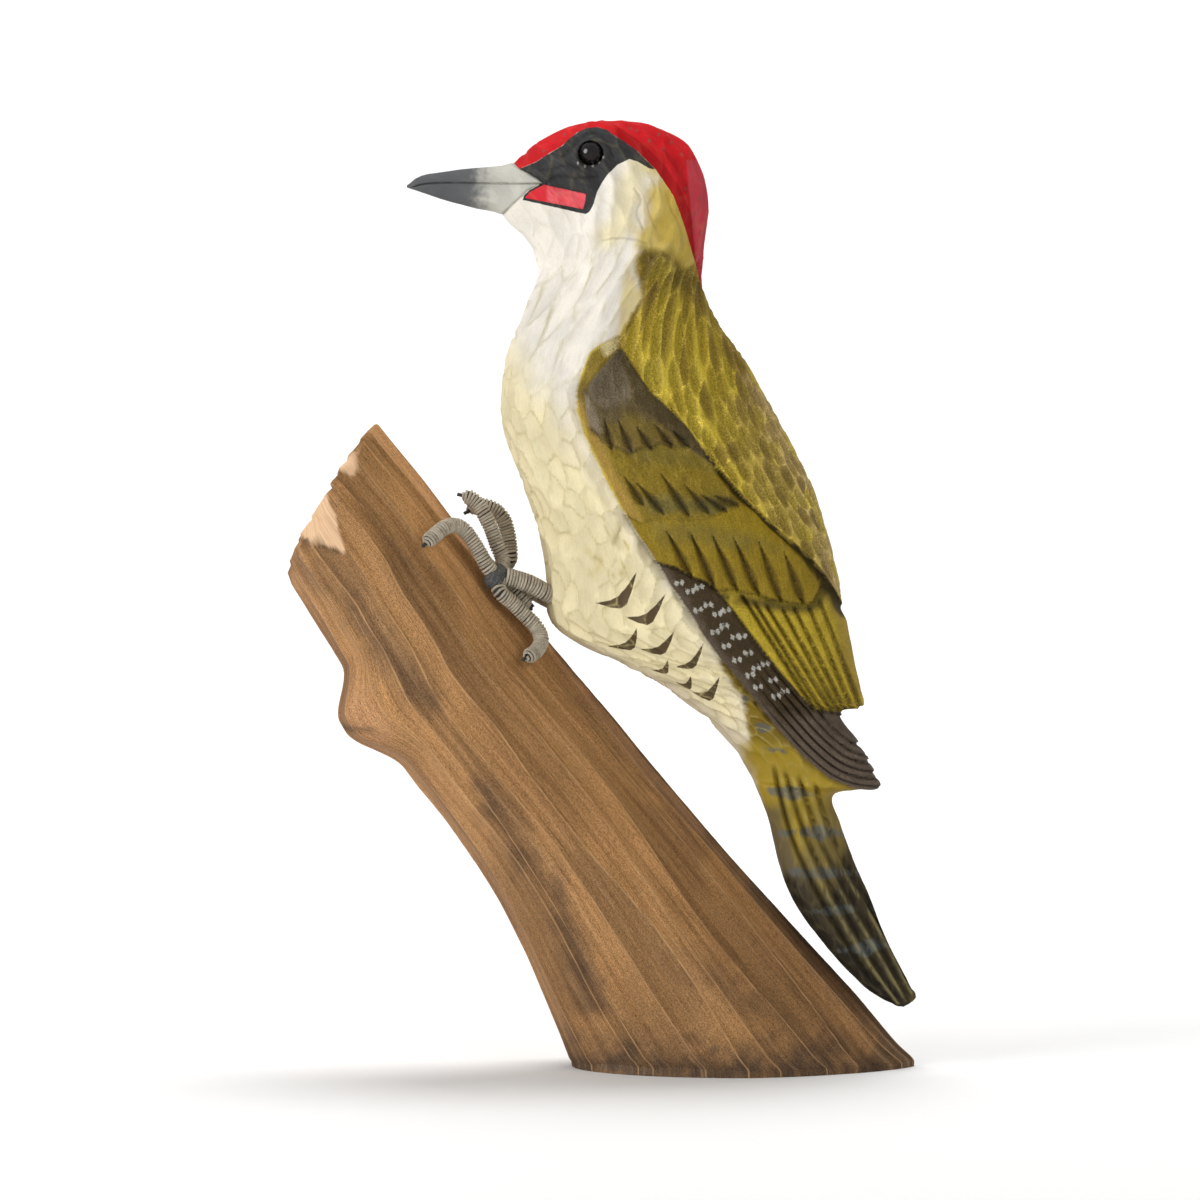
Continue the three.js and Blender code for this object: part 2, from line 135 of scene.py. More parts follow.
@dataclass(frozen=True)
class Sketch:
    """The side view that edges are drawn on, in thirds of a millimetre right and down from its corner."""

    per_mm: float = 3.0
    origin: tuple[float, float] = (741.0, 1068.0)
    centre: tuple[float, float] = (-47.0, 156.0)
    eye_distance: float = 3000.0
    eye_height: float = math.radians(3.5)

    def seen(self, points: Array) -> Array:
        """Where points of the object, or of its mirrored far flank, appear on the sketch.

        Args:
            points: an array of x, y, z rows in millimetres.

        Returns:
            An array of right, down rows.
        """
        right = points[:, 0] - self.centre[0]
        near, up = np.abs(points[:, 1]), points[:, 2] - self.centre[1]
        away = -near * math.cos(self.eye_height) - up * math.sin(self.eye_height)
        grown = self.eye_distance / (self.eye_distance + away)
        seen_right = self.centre[0] + right * grown
        seen_up = self.centre[1] + (up * math.cos(self.eye_height) - near * math.sin(self.eye_height)) * grown
        x, y = self.origin[0] + seen_right * self.per_mm, self.origin[1] - seen_up * self.per_mm
        return np.stack([x, y], axis=1)


SKETCH = Sketch()


@dataclass(frozen=True)
class Line:
    """A line on the sketch, drawn through a few points, that measures distances in millimetres."""

    points: Pairs
    closed: bool = False
    rounded: bool = True

    def corners(self) -> Array:
        """The line's points, with its curves filled in."""
        points = self.points + (self.points[0],) if self.closed else self.points
        return curved(points, 5) if self.rounded else np.array(points, float)

    def measure(self, at: Array, margin: float = 12.0) -> Arrays:
        """Distances from the line.

        Args:
            at: right, down rows on the sketch.
            margin: how far out, in millimetres, distances are worked out.

        Returns:
            The distance of each point, the share of the line's length at which it is nearest, and
            whether the point is inside the line, which means something only where the line is closed.
        """
        corners = self.corners()
        reach = margin * SKETCH.per_mm
        away = np.full(len(at), margin, float)
        share = np.zeros(len(at))
        inside = np.zeros(len(at), bool)
        low, high = corners.min(0) - reach, corners.max(0) + reach
        near = np.flatnonzero(((at > low) & (at < high)).all(1))
        if not len(near):
            return away, share, inside
        x, y = at[near, 0], at[near, 1]
        best = np.full(len(near), reach**2)
        along = np.zeros(len(near))
        within = np.zeros(len(near), bool)
        runs = np.diff(corners, axis=0)
        lengths = np.hypot(runs[:, 0], runs[:, 1])
        starts = np.concatenate([[0], np.cumsum(lengths)])
        for (ax, ay), (rx, ry), length, start in zip(corners, runs, lengths, starts):
            if length < 1e-6:
                continue
            f = np.clip(((x - ax) * rx + (y - ay) * ry) / length**2, 0, 1)
            gap = (x - ax - rx * f) ** 2 + (y - ay - ry * f) ** 2
            closer = gap < best
            best = np.where(closer, gap, best)
            along = np.where(closer, start + f * length, along)
            crosses = (ay > y) != (ay + ry > y)
            within ^= crosses & (x < ax + rx * (y - ay) / (ry if abs(ry) > 1e-9 else 1e-9))
        away[near] = np.sqrt(best) / SKETCH.per_mm
        share[near] = along / starts[-1]
        inside[near] = within
        return away, share, inside

    def depth(self, at: Array, margin: float = 12.0) -> Array:
        """How far points lie inside the closed line in millimetres, negative outside it."""
        away, _, inside = self.measure(at, margin)
        return np.where(inside, away, -away)


def trace(*points: tuple[float, float]) -> Line:
    """An open line of straight runs."""
    return Line(points, rounded=False)


def outline(*points: tuple[float, float]) -> Line:
    """A closed line of straight runs."""
    return Line(points, closed=True, rounded=False)


@dataclass(frozen=True)
class Groove:
    """A V-shaped knife cut along a line."""

    line: Line
    start_width: float
    end_width: float
    depth: float
    leaf: bool = False

    def cut(self, at: Array) -> Array:
        """The cut's depth at each point, from 0 to 1 at its bed. A leaf-shaped one ends in a point."""
        away, share, _ = self.line.measure(at, 6.0)
        grown = np.sin(math.pi * share**1.7) if self.leaf else share
        width = self.start_width + (self.end_width - self.start_width) * grown
        ends = smooth(0, 0.06, share) if self.start_width < self.end_width else 1.0
        return np.clip(1 - away / np.maximum(width, 0.05), 0, 1) * ends


def fan(starts: Pairs, ends: Pairs, widths: tuple[float, float], depth: float,
        leaf: bool = False) -> tuple[Groove, ...]:
    """Straight grooves that run from one row of points to another."""
    return tuple(Groove(trace(a, b), *widths, depth, leaf) for a, b in zip(starts, ends))


@dataclass(frozen=True)
class Gouges:
    """Overlapping gouge cuts, longer than wide, that leave crisp ridges between shallow hollows."""

    length: float
    width: float
    depth: float
    seed: int
    slant: float = 0.0
    jitter: float = 0.7

    def cut(self, along: Array, across: Array) -> Arrays:
        """Cuts the surface.

        Args:
            along: millimetres along the strokes.
            across: millimetres across them.

        Returns:
            The height of each point, which is negative in a hollow, the ridges from 0 to 1, and a random
            number for each cut.
        """
        b = (across + along * self.slant) / self.width
        a = along / self.length
        column = np.floor(b)
        first = np.full(a.shape, 9.0)
        second = np.full(a.shape, 9.0)
        tone = np.zeros(a.shape)
        for side in (-1, 0, 1):
            this = column + side
            lifted = a + 0.5 * np.mod(this, 2)
            row = np.floor(lifted)
            for step in (-1, 0, 1):
                cell = row + step
                da = lifted - cell - 0.5 - self.jitter * (lattice(this, cell, self.seed) - 0.5)
                db = b - this - 0.5 - self.jitter * (lattice(this, cell, self.seed + 7) - 0.5)
                gap = 1.7 * np.abs(da) ** 3 + db * db
                closer = gap < first
                second = np.where(closer, first, np.minimum(second, gap))
                tone = np.where(closer, lattice(this, cell, self.seed + 13), tone)
                first = np.where(closer, gap, first)
        height = self.depth * (0.7 + 0.6 * tone) * (np.minimum(first / 0.34, 1.0) - 1)
        ridge = 1 - smooth(0.0, 0.13, np.sqrt(second) - np.sqrt(first))
        return height, ridge, tone


class Paint(Enum):
    """The paints and stains, and a few painted shades and shadows, as sRGB values."""

    BEAK_DARK = (92, 94, 96)
    BEAK_LIGHT = (190, 188, 178)
    CROWN_RED = (206, 26, 34)
    CROWN_DEEP = (168, 12, 18)
    CROWN_PINK = (192, 58, 70)
    CROWN_FLECK = (122, 80, 74)
    MASK_BLACK = (52, 52, 52)
    MASK_WORN = (92, 92, 92)
    MALAR_RED = (222, 40, 52)
    MALAR_ROSE = (232, 100, 108)
    WHITE = (238, 232, 221)
    CREAM = (234, 220, 168)
    BELLY_CREAM = (232, 219, 177)
    BELLY_GREY = (205, 194, 172)
    NECK_YELLOW = (214, 190, 108)
    NECK_GOLD = (184, 156, 62)
    NECK_OLIVE = (146, 124, 44)
    NECK_DARK = (104, 88, 42)
    BORDER_ORANGE = (218, 198, 132)
    MANTLE = (187, 163, 52)
    MANTLE_BRIGHT = (194, 174, 62)
    MANTLE_BROWN = (120, 96, 44)
    MANTLE_BACK = (182, 157, 106)
    # Painted shadow, laid under the mantle's brink and under the greater coverts' lower edge.
    UNDERCUT_SHADOW = (58, 48, 16)
    SHOULDER = (98, 84, 52)
    SHOULDER_FACET = (112, 101, 82)
    # Painted shade on the shoulder, just under the mantle's brink.
    SHOULDER_EDGE_SHADE = (70, 58, 32)
    SHOULDER_TIP = (142, 130, 108)
    RIM = (176, 144, 66)
    RIM_LIGHT = (206, 182, 66)
    COVERTS = (136, 114, 30)
    COVERTS_COOL = (98, 96, 56)
    GREATER_COVERTS = (144, 120, 26)
    SECONDARIES = (181, 157, 44)
    TERTIALS = (156, 130, 48)
    PRIMARIES = (66, 53, 32)
    PRIMARY_TIPS = (96, 83, 70)
    PRIMARY_SPOT = (186, 183, 174)
    RUMP = (136, 113, 30)
    TAIL = (162, 137, 40)
    TAIL_GREY = (90, 80, 64)
    TAIL_DARK = (48, 41, 34)
    # Painted shade on the tail's lower-left bevel, which turns away from the light.
    TAIL_EDGE_SHADE = (40, 35, 28)
    BAR_BLUE = (92, 98, 98)
    MARK = (74, 54, 26)
    RIDGE_LIGHT = (194, 182, 146)
    RIDGE_GREY = (176, 164, 108)
    LOG = (165, 122, 76)
    LOG_LIGHT = (198, 156, 110)
    LOG_ORANGE = (180, 134, 92)
    LOG_DARK = (88, 66, 46)
    LOG_BASE = (80, 64, 50)
    LOG_PALE = (240, 200, 160)
    THREAD = (186, 175, 156)
    THREAD_SHADE = (142, 133, 116)
    WIRE = (58, 57, 56)
    PUTTY = (88, 91, 90)
    FLOOR = (246, 246, 245)

    @property
    def linear(self) -> tuple[float, float, float, float]:
        """The paint as linear red, green, blue and a full alpha."""
        parts = [part / 255 for part in self.value]
        red, green, blue = (p / 12.92 if p < 0.04045 else ((p + 0.055) / 1.055) ** 2.4 for p in parts)
        return red, green, blue, 1.0

    def over(self, count: int) -> Array:
        """The paint's linear red, green and blue, once for each of a number of points."""
        return np.tile(np.array(self.linear[:3]), (count, 1))


@dataclass(frozen=True)
class Wash:
    """An area of paint on the sketch, with a soft or ragged edge."""

    paint: Paint
    line: Line
    soft: float = 1.0
    ragged: float = 0.0
    strength: float = 1.0
    width: float = 0.0

    def cover(self, at: Array) -> Array:
        """How much of the wash lies on each point, from 0 to 1."""
        if self.line.closed:
            depth = self.line.depth(at, 6 + 2 * self.soft + self.ragged)
        else:
            depth = self.width - self.line.measure(at, 4 + self.width + 2 * self.soft + self.ragged)[0]
        if self.ragged:
            depth = depth + self.ragged * cloud(at[:, 0] / 14, at[:, 1] / 14, 31)
        return self.strength * smooth(-self.soft, self.soft, depth)

    def lay(self, colours: Array, at: Array) -> Array:
        """Lays the wash over colours that are already there."""
        cover = self.cover(at)[:, None]
        return colours * (1 - cover) + self.paint.over(1) * cover


def area(paint: Paint, points: Pairs, soft: float = 1.0, ragged: float = 0.0, strength: float = 1.0) -> Wash:
    """A wash inside a closed outline."""
    return Wash(paint, outline(*points), soft, ragged, strength)


def stripe(paint: Paint, points: Pairs, width: float, soft: float = 1.0, ragged: float = 0.0,
           strength: float = 1.0) -> Wash:
    """A wash on both sides of an open line."""
    return Wash(paint, Line(points), soft, ragged, strength, width)


class Graph:
    """Builds a node tree, a node at a time."""

    def __init__(self, tree: bpy.types.NodeTree) -> None:
        """Starts from an empty tree."""
        self.tree = tree
        self.colour = None
        tree.nodes.clear()

    def node(self, kind: str, inputs: dict | None = None, **settings: object) -> bpy.types.Node:
        """Adds one node.

        Args:
            kind: the node's type.
            inputs: for each input's name or number, a value, a paint or the socket that feeds it.
            settings: the node's own properties.

        Returns:
            The new node.
        """
        node = self.tree.nodes.new(kind)
        for name, value in settings.items():
            setattr(node, name, value)
        for key, value in (inputs or {}).items():
            if isinstance(value, Socket):
                self.tree.links.new(value, node.inputs[key])
            else:
                node.inputs[key].default_value = value.linear if isinstance(value, Paint) else value
        return node

    def math(self, operation: str, a: object, b: object = 0.0) -> Socket:
        """One step of arithmetic."""
        return self.node("ShaderNodeMath", {0: a, 1: b}, operation=operation).outputs[0]

    def times(self, *factors: object) -> Socket:
        """The product of some values."""
        return reduce(lambda a, b: self.math("MULTIPLY", a, b), factors)

    def plus(self, *terms: object) -> Socket:
        """The sum of some values."""
        return reduce(lambda a, b: self.math("ADD", a, b), terms)

    def centred(self, noise: object) -> Socket:
        """Random values from 0 to 1, moved to lie round 0."""
        return self.math("SUBTRACT", noise, 0.5)

    def rise(self, value: object, low: float, high: float, least: float = 0.0,
             most: float = 1.0) -> Socket:
        """A smooth rise from least, where value is low, to most, where it is high."""
        inputs = {"Value": value, "From Min": low, "From Max": high, "To Min": least, "To Max": most}
        return self.node("ShaderNodeMapRange", inputs, interpolation_type="SMOOTHSTEP").outputs[0]

    def blend(self, share: object, a: object, b: object, how: str = "MIX") -> Socket:
        """Mixes two colours."""
        inputs = {0: share, 6: a, 7: b}
        return self.node("ShaderNodeMix", inputs, data_type="RGBA", blend_type=how).outputs[2]

    def lay(self, share: object, colour: object, how: str = "MIX") -> None:
        """Lays a share of another colour over the colour so far."""
        self.colour = self.blend(share, self.colour, colour, how)

    def shade(self, factor: object) -> None:
        """Makes the colour so far lighter or darker by a factor."""
        self.lay(1.0, self.vector(factor, factor, factor), "MULTIPLY")

    def stored(self, name: str, output: str = "Vector") -> Socket:
        """Reads a value that is stored with the mesh."""
        return self.node("ShaderNodeAttribute", attribute_name=name).outputs[output]

    def place(self) -> Socket:
        """The point on the object, in metres."""
        return self.node("ShaderNodeTexCoord").outputs["Object"]

    def parts(self, vector: object) -> list[Socket]:
        """Takes a vector apart."""
        return self.node("ShaderNodeSeparateXYZ", {0: vector}).outputs[:3]

    def vector(self, x: object, y: object, z: object = 0.0) -> Socket:
        """Puts a vector together."""
        return self.node("ShaderNodeCombineXYZ", {0: x, 1: y, 2: z}).outputs[0]

    def noise(self, vector: object, scale: float, detail: float = 2.0,
              roughness: float = 0.5) -> Socket:
        """Soft random values from 0 to 1."""
        inputs = {"Vector": vector, "Scale": scale, "Detail": detail, "Roughness": roughness}
        return self.node("ShaderNodeTexNoise", inputs).outputs[0]

    def stroke_noise(self, vector: object, along: float, across: float, detail: float = 3.0,
                     seed: float = 0.0) -> Socket:
        """Random values that are drawn out along the strokes, by cycles to the millimetre."""
        x, y, z = self.parts(vector)
        drawn = self.vector(self.times(x, along), self.times(y, across), self.plus(z, seed))
        return self.noise(drawn, 1.0, detail)

    def bump(self, height: object, strength: float, depth: float) -> Socket:
        """The direction of a surface roughened by a height, its depth in metres."""
        inputs = {"Height": height, "Strength": strength, "Distance": depth}
        return self.node("ShaderNodeBump", inputs).outputs[0]


def new_material(name: str) -> tuple[Material, Graph]:
    """An empty material and the graph that builds it."""
    material = bpy.data.materials.new(name)
    material.use_nodes = True
    return material, Graph(material.node_tree)


def close_material(graph: Graph, colour: object, roughness: object, normal: object | None = None,
                   **constants: float) -> None:
    """Ends a material in one surface shader.

    Args:
        graph: the material's graph.
        colour: what feeds the base colour.
        roughness: what feeds the roughness.
        normal: what feeds the normal.
        constants: further shader inputs that are the same all over, with _ for each space.
    """
    inputs = {"Base Color": colour, "Roughness": roughness}
    if normal is not None:
        inputs["Normal"] = normal
    inputs.update({name.replace("_", " "): value for name, value in constants.items()})
    shader = graph.node("ShaderNodeBsdfPrincipled", inputs)
    graph.node("ShaderNodeOutputMaterial", {0: shader.outputs[0]})


@dataclass(frozen=True)
class PaintedWoodFinish:
    """Thin paint on carved wood: wear and painted highlight on ridges, gathered paint and painted shade in
    cuts.
    """

    edge: float = 0.12
    wobble: float = 0.35
    spot_cover: float = 0.8
    bar_cover: float = 0.75
    fleck_cover: float = 0.65
    # How much lighter the ridges' wear and painted highlight make the paint.
    ridge_lift: Triple = (1.9, 1.85, 1.8)
    # Darkens the hollows of the cuts: partly paint that gathers there, partly painted shade.
    hollow_shade_tint: tuple[float, ...] = (0.25, 0.21, 0.1, 1)
    # Painted shade in the grooves, creases and the undercut.
    groove_shade_tint: tuple[float, ...] = (0.16, 0.13, 0.07, 1)

    def crisp(self, graph: Graph, distance: object, wobble: object, soft: float = 1.0) -> Socket:
        """Turns millimetres inside an edge into a crisp, slightly unsteady painted edge."""
        return graph.rise(graph.plus(distance, wobble), -self.edge * soft, self.edge * soft)

    def build(self) -> Material:
        """Builds the material from the bird's stored edges, relief and paint."""
        material, graph = new_material("painted_wood")
        flow = graph.stored("flow")
        mask, malar, crown = graph.parts(graph.stored("head_edges"))
        beak, pink, fleck = graph.parts(graph.stored("beak_edges"))
        marks, spots, bars = graph.parts(graph.stored("body_edges"))
        ridge, hollow, groove = graph.parts(graph.stored("relief"))
        tone, speckled, varying = graph.parts(graph.stored("tone"))
        place = graph.place()
        shake = graph.times(graph.centred(graph.noise(place, 700, 3)), self.wobble)
        strokes = graph.stroke_noise(flow, 0.11, 1.5)
        fine = graph.stroke_noise(flow, 0.5, 5, 2, 5)
        specks = graph.noise(place, 1900, 2, 0.6)
        patches = graph.noise(place, 130, 3)

        graph.colour = graph.stored("paint", "Color")
        self.dress_head(graph, place, (mask, malar, crown, beak, pink, fleck), shake, fine)
        drybrush = graph.times(graph.centred(specks), 1.1)
        spot = self.crisp(graph, graph.plus(spots, drybrush), shake, 2)
        graph.lay(graph.times(spot, self.spot_cover), Paint.PRIMARY_SPOT)
        patchy = graph.plus(drybrush, graph.times(graph.centred(patches), 6))
        bar = self.crisp(graph, graph.plus(bars, patchy), shake, 6)
        graph.lay(graph.times(bar, self.bar_cover), Paint.BAR_BLUE)
        shares = ((0.6, 0.9, 0.55, Paint.MANTLE_BRIGHT), (0.4, 0.05, 0.5, Paint.MANTLE_BROWN))
        for low, high, share, paint in shares:
            graph.lay(graph.times(graph.rise(tone, low, high, 0, share), varying), paint)
        mark = graph.times(self.crisp(graph, marks, shake, 0.9), graph.rise(ridge, 0.5, 1, 0.95, 0.8))
        graph.lay(mark, Paint.MARK)

        olive = graph.plus(graph.times(speckled, 0.8), 0.2)
        streaked = graph.math("SUBTRACT", graph.rise(strokes, 0.3, 0.7, 0.91, 1.08), 1)
        brushed = graph.times(
            graph.plus(graph.times(streaked, olive), 1), graph.rise(tone, 0, 1, 0.93, 1.05),
            graph.rise(fine, 0.3, 0.7, 0.97, 1.03), graph.rise(patches, 0.3, 0.7, 0.94, 1.05),
        )
        brushed = graph.plus(brushed, graph.times(graph.rise(specks, 0.35, 0.65, -0.16, 0.13), speckled))
        graph.shade(brushed)
        broken = graph.times(ridge, graph.rise(patches, 0.28, 0.55, 0.25, 1))
        masked, reddened = graph.rise(mask, -0.1, 0.1, 1, 0.55), graph.rise(crown, -0.1, 0.1, 1, 0.2)
        spared = graph.math("MINIMUM", masked, reddened)
        graph.lay(graph.times(broken, graph.rise(speckled, 0.1, 0.5, 0.62, 0), spared), Paint.RIDGE_GREY)
        # The ridges are lightened in patches, partly as wear and partly as a painted highlight.
        rubbed_and_highlit = graph.rise(patches, 0.35, 0.65, 0.3, 0.85)
        worn_and_highlit = graph.times(ridge, graph.rise(specks, 0.4, 0.6), rubbed_and_highlit, speckled)
        lifted = graph.blend(1, graph.colour, graph.vector(*self.ridge_lift), "MULTIPLY")
        graph.lay(worn_and_highlit, graph.blend(0.2, lifted, Paint.RIDGE_LIGHT))
        shade = graph.times(hollow, graph.rise(specks, 0.3, 0.6, 0.6, 0.32))
        graph.lay(shade, self.hollow_shade_tint, "MULTIPLY")
        # Painted shade: the grooves, creases and undercut are darkened in the paint.
        graph.lay(graph.times(groove, 0.85), self.groove_shade_tint, "MULTIPLY")

        roughness = graph.rise(graph.plus(graph.times(specks, 0.4), strokes), 0.3, 1, 0.45, 0.68)
        grain = graph.plus(graph.times(strokes, 0.6), graph.times(fine, 0.4), graph.times(specks, 0.25))
        bump = graph.bump(grain, 0.35, 0.0002)
        close_material(graph, graph.colour, roughness, bump, Specular_IOR_Level=0.25)
        return material

    def dress_head(self, graph: Graph, place: object, edges: tuple, shake: object, fine: object) -> None:
        """Paints the crown, mask, moustache and beak over the base paint.

        Args:
            graph: the material's graph.
            place: the point on the object.
            edges: millimetres inside the mask, moustache, crown, beak, nape facet and flecks.
            shake: how unsteady the edges are.
            fine: fine brush strokes.
        """
        mask, malar, crown, beak, pink, fleck = edges
        forward, _, upward = graph.parts(place)
        rear = graph.rise(forward, -0.046, -0.040)
        deep = graph.times(graph.rise(graph.plus(crown, shake), 3.5, 3), rear)
        mottled = graph.times(graph.rise(graph.noise(place, 160, 3), 0.4, 0.65), 0.4)
        red = graph.blend(graph.math("MAXIMUM", deep, mottled), Paint.CROWN_RED, Paint.CROWN_DEEP)
        red = graph.blend(self.crisp(graph, pink, shake, 2), red, Paint.CROWN_PINK)
        flecked = graph.times(self.crisp(graph, fleck, shake, 3), self.fleck_cover)
        red = graph.blend(flecked, red, Paint.CROWN_FLECK)
        black = graph.blend(graph.rise(fine, 0.45, 0.8, 0, 0.5), Paint.MASK_BLACK, Paint.MASK_WORN)
        rosy = graph.blend(graph.rise(fine, 0.4, 0.7), Paint.MALAR_ROSE, Paint.MALAR_RED)
        rosy = graph.blend(graph.rise(forward, -0.0652, -0.0640), Paint.MALAR_RED, rosy)
        streaks = graph.vector(graph.times(forward, 420), 0, graph.times(upward, 420))
        ragged = graph.times(graph.centred(graph.noise(streaks, 1, 4)), 0.009)
        tip = graph.rise(graph.plus(forward, ragged), -0.0910, -0.0820)
        horn = graph.blend(tip, Paint.BEAK_DARK, Paint.BEAK_LIGHT)
        for shape, paint in ((crown, red), (mask, black), (malar, rosy), (beak, horn)):
            graph.lay(self.crisp(graph, shape, shake), paint)


@dataclass(frozen=True)
class LogWoodFinish:
    """Stained, knife-cut wood with a long grain, and ridges lighter from wear and a painted highlight."""

    dark_tint: tuple[float, ...] = (0.46, 0.4, 0.34, 1)
    stain_tint: tuple[float, ...] = (0.4, 0.38, 0.36, 1)
    pore_tint: tuple[float, ...] = (0.3, 0.24, 0.2, 1)

    def build(self) -> Material:
        """Builds the material from the log's stored grain, cuts and stain."""
        material, graph = new_material("log_wood")
        grain = graph.stored("grain")
        ridge, tone, bare = graph.parts(graph.stored("cuts"))
        streaks = graph.stroke_noise(grain, 0.012, 0.42, 4)
        fine = graph.stroke_noise(grain, 0.07, 3, 3, 4)
        pores = graph.stroke_noise(grain, 0.7, 3.6, 2, 9)
        stains = graph.stroke_noise(grain, 0.011, 0.075, 3, 14)
        stipple = graph.noise(graph.place(), 2600, 2, 0.6)

        graph.colour = graph.stored("paint", "Color")
        dark = graph.times(graph.rise(streaks, 0.5, 0.64), 0.38)
        graph.lay(dark, self.dark_tint, "MULTIPLY")
        light = graph.times(graph.rise(streaks, 0.48, 0.32), 0.22)
        graph.lay(light, Paint.LOG_LIGHT)
        stain = graph.times(graph.rise(stains, 0.5, 0.66), 0.42)
        graph.lay(stain, self.stain_tint, "MULTIPLY")
        tones = graph.times(graph.rise(tone, 0, 1, 0.72, 1.24), graph.rise(fine, 0.38, 0.62, 0.86, 1.15),
                            graph.rise(stipple, 0.4, 0.6, 0.74, 1.24))
        graph.shade(tones)
        speck = graph.times(graph.rise(pores, 0.53, 0.66), 0.55)
        graph.lay(speck, self.pore_tint, "MULTIPLY")
        # The ridges are lightened, partly as wear and partly as a painted highlight.
        worn_and_highlit = graph.times(graph.rise(ridge, 0.5, 0.95), graph.rise(fine, 0.35, 0.6, 0.25, 0.7))
        graph.lay(worn_and_highlit, Paint.LOG_LIGHT)
        bared = graph.times(bare, graph.rise(fine, 0.3, 0.65, 0.6, 0.95))
        graph.lay(bared, Paint.LOG_PALE)

        height = graph.plus(graph.times(fine, 0.7), graph.times(pores, -0.5))
        roughness = graph.rise(streaks, 0.3, 0.7, 0.55, 0.72)
        bump = graph.bump(height, 0.4, 0.0003)
        close_material(graph, graph.colour, roughness, bump, Specular_IOR_Level=0.3)
        return material


@dataclass(frozen=True)
class ThreadFinish:
    """Grey linen thread wound on dark wire."""

    def build(self) -> Material:
        """Builds the material from each toe's stored winding."""
        material, graph = new_material("thread")
        place = graph.place()
        fibres = graph.noise(graph.vector(graph.stored("turn", "Fac"), graph.noise(place, 900, 2)), 3, 3)
        fuzz = graph.noise(place, 3800, 2, 0.7)
        colour = graph.blend(graph.rise(fibres, 0.35, 0.7), Paint.THREAD, Paint.THREAD_SHADE)
        colour = graph.blend(graph.rise(fuzz, 0.35, 0.75, 0, 0.5), colour, Paint.THREAD)
        colour = graph.blend(graph.stored("wound", "Fac"), Paint.WIRE, colour)
        close_material(graph, colour, graph.rise(fuzz, 0.2, 0.8, 0.75, 0.95), graph.bump(fuzz, 0.5, 0.0002))
        return material


@dataclass(frozen=True)
class PuttyFinish:
    """Dark grey modelling putty, pressed on by hand."""

    def build(self) -> Material:
        """Builds the material."""
        material, graph = new_material("putty")
        grain = graph.noise(graph.place(), 1500, 4)
        colour = graph.blend(graph.rise(grain, 0.3, 0.7), Paint.PUTTY, Paint.WIRE)
        close_material(graph, colour, graph.rise(grain, 0.3, 0.7, 0.45, 0.7), graph.bump(grain, 0.5, 0.0003))
        return material


@dataclass(frozen=True)
class EyeGlassFinish:
    """Glossy black glass with a faint brown depth."""

    black: tuple[float, ...] = (0.004, 0.003, 0.003, 1)
    brown: tuple[float, ...] = (0.012, 0.008, 0.006, 1)

    def build(self) -> Material:
        """Builds the material."""
        material, graph = new_material("eye_glass")
        place = graph.place()
        colour = graph.blend(graph.rise(graph.noise(place, 400, 2), 0.3, 0.7), self.black, self.brown)
        rub = graph.rise(graph.noise(place, 1200, 2), 0.3, 0.7, 0.14, 0.2)
        close_material(graph, colour, rub, Coat_Weight=0.6, Coat_Roughness=0.09, IOR=1.5)
        return material


@dataclass(frozen=True)
class FloorFinish:
    """Matt white studio paper."""

    def build(self) -> Material:
        """Builds the material."""
        material, graph = new_material("studio_paper")
        fibre = graph.noise(graph.place(), 300, 2)
        close_material(graph, Paint.FLOOR, graph.rise(fibre, 0.3, 0.7, 0.88, 0.92))
        return material


def add_object(name: str, mesh: Mesh, material: Material) -> Piece:
    """Puts a mesh in the scene with its one material, smoothly shaded."""
    mesh.materials.clear()
    mesh.materials.append(material)
    mesh.polygons.foreach_set("use_smooth", np.ones(len(mesh.polygons), bool))
    piece = bpy.data.objects.new(name, mesh)
    bpy.context.scene.collection.objects.link(piece)
    return piece


def declare(piece: Piece, node: str) -> None:
    """Hangs a finished piece on the root body, hides the solid part it stands for, and logs its face count.
    """
    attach(piece, "root")
    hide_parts(node)
    LOG.info("%s: %d faces", piece.name, len(piece.data.polygons))


def store(mesh: Mesh, name: str, values: Array, kind: str = "FLOAT_VECTOR") -> None:
    """Stores one vector or colour for each vertex with the mesh."""
    attribute = mesh.attributes.new(name, kind, "POINT")
    if kind == "FLOAT_COLOR":
        values = np.concatenate([values, np.ones((len(values), 1))], axis=1)
    part = "color" if kind == "FLOAT_COLOR" else "vector"
    attribute.data.foreach_set(part, values.astype(np.float32).ravel())


def read_vectors(mesh: Mesh, name: str) -> Array:
    """Reads a stored vector back, one row for each vertex."""
    values = np.zeros(len(mesh.vertices) * 3, np.float32)
    mesh.attributes[name].data.foreach_get("vector", values)
    return values.reshape(-1, 3).astype(float)


def positions(mesh: Mesh) -> Array:
    """A mesh's points in millimetres."""
    values = np.zeros(len(mesh.vertices) * 3, np.float32)
    mesh.vertices.foreach_get("co", values)
    return values.reshape(-1, 3).astype(float) / MM


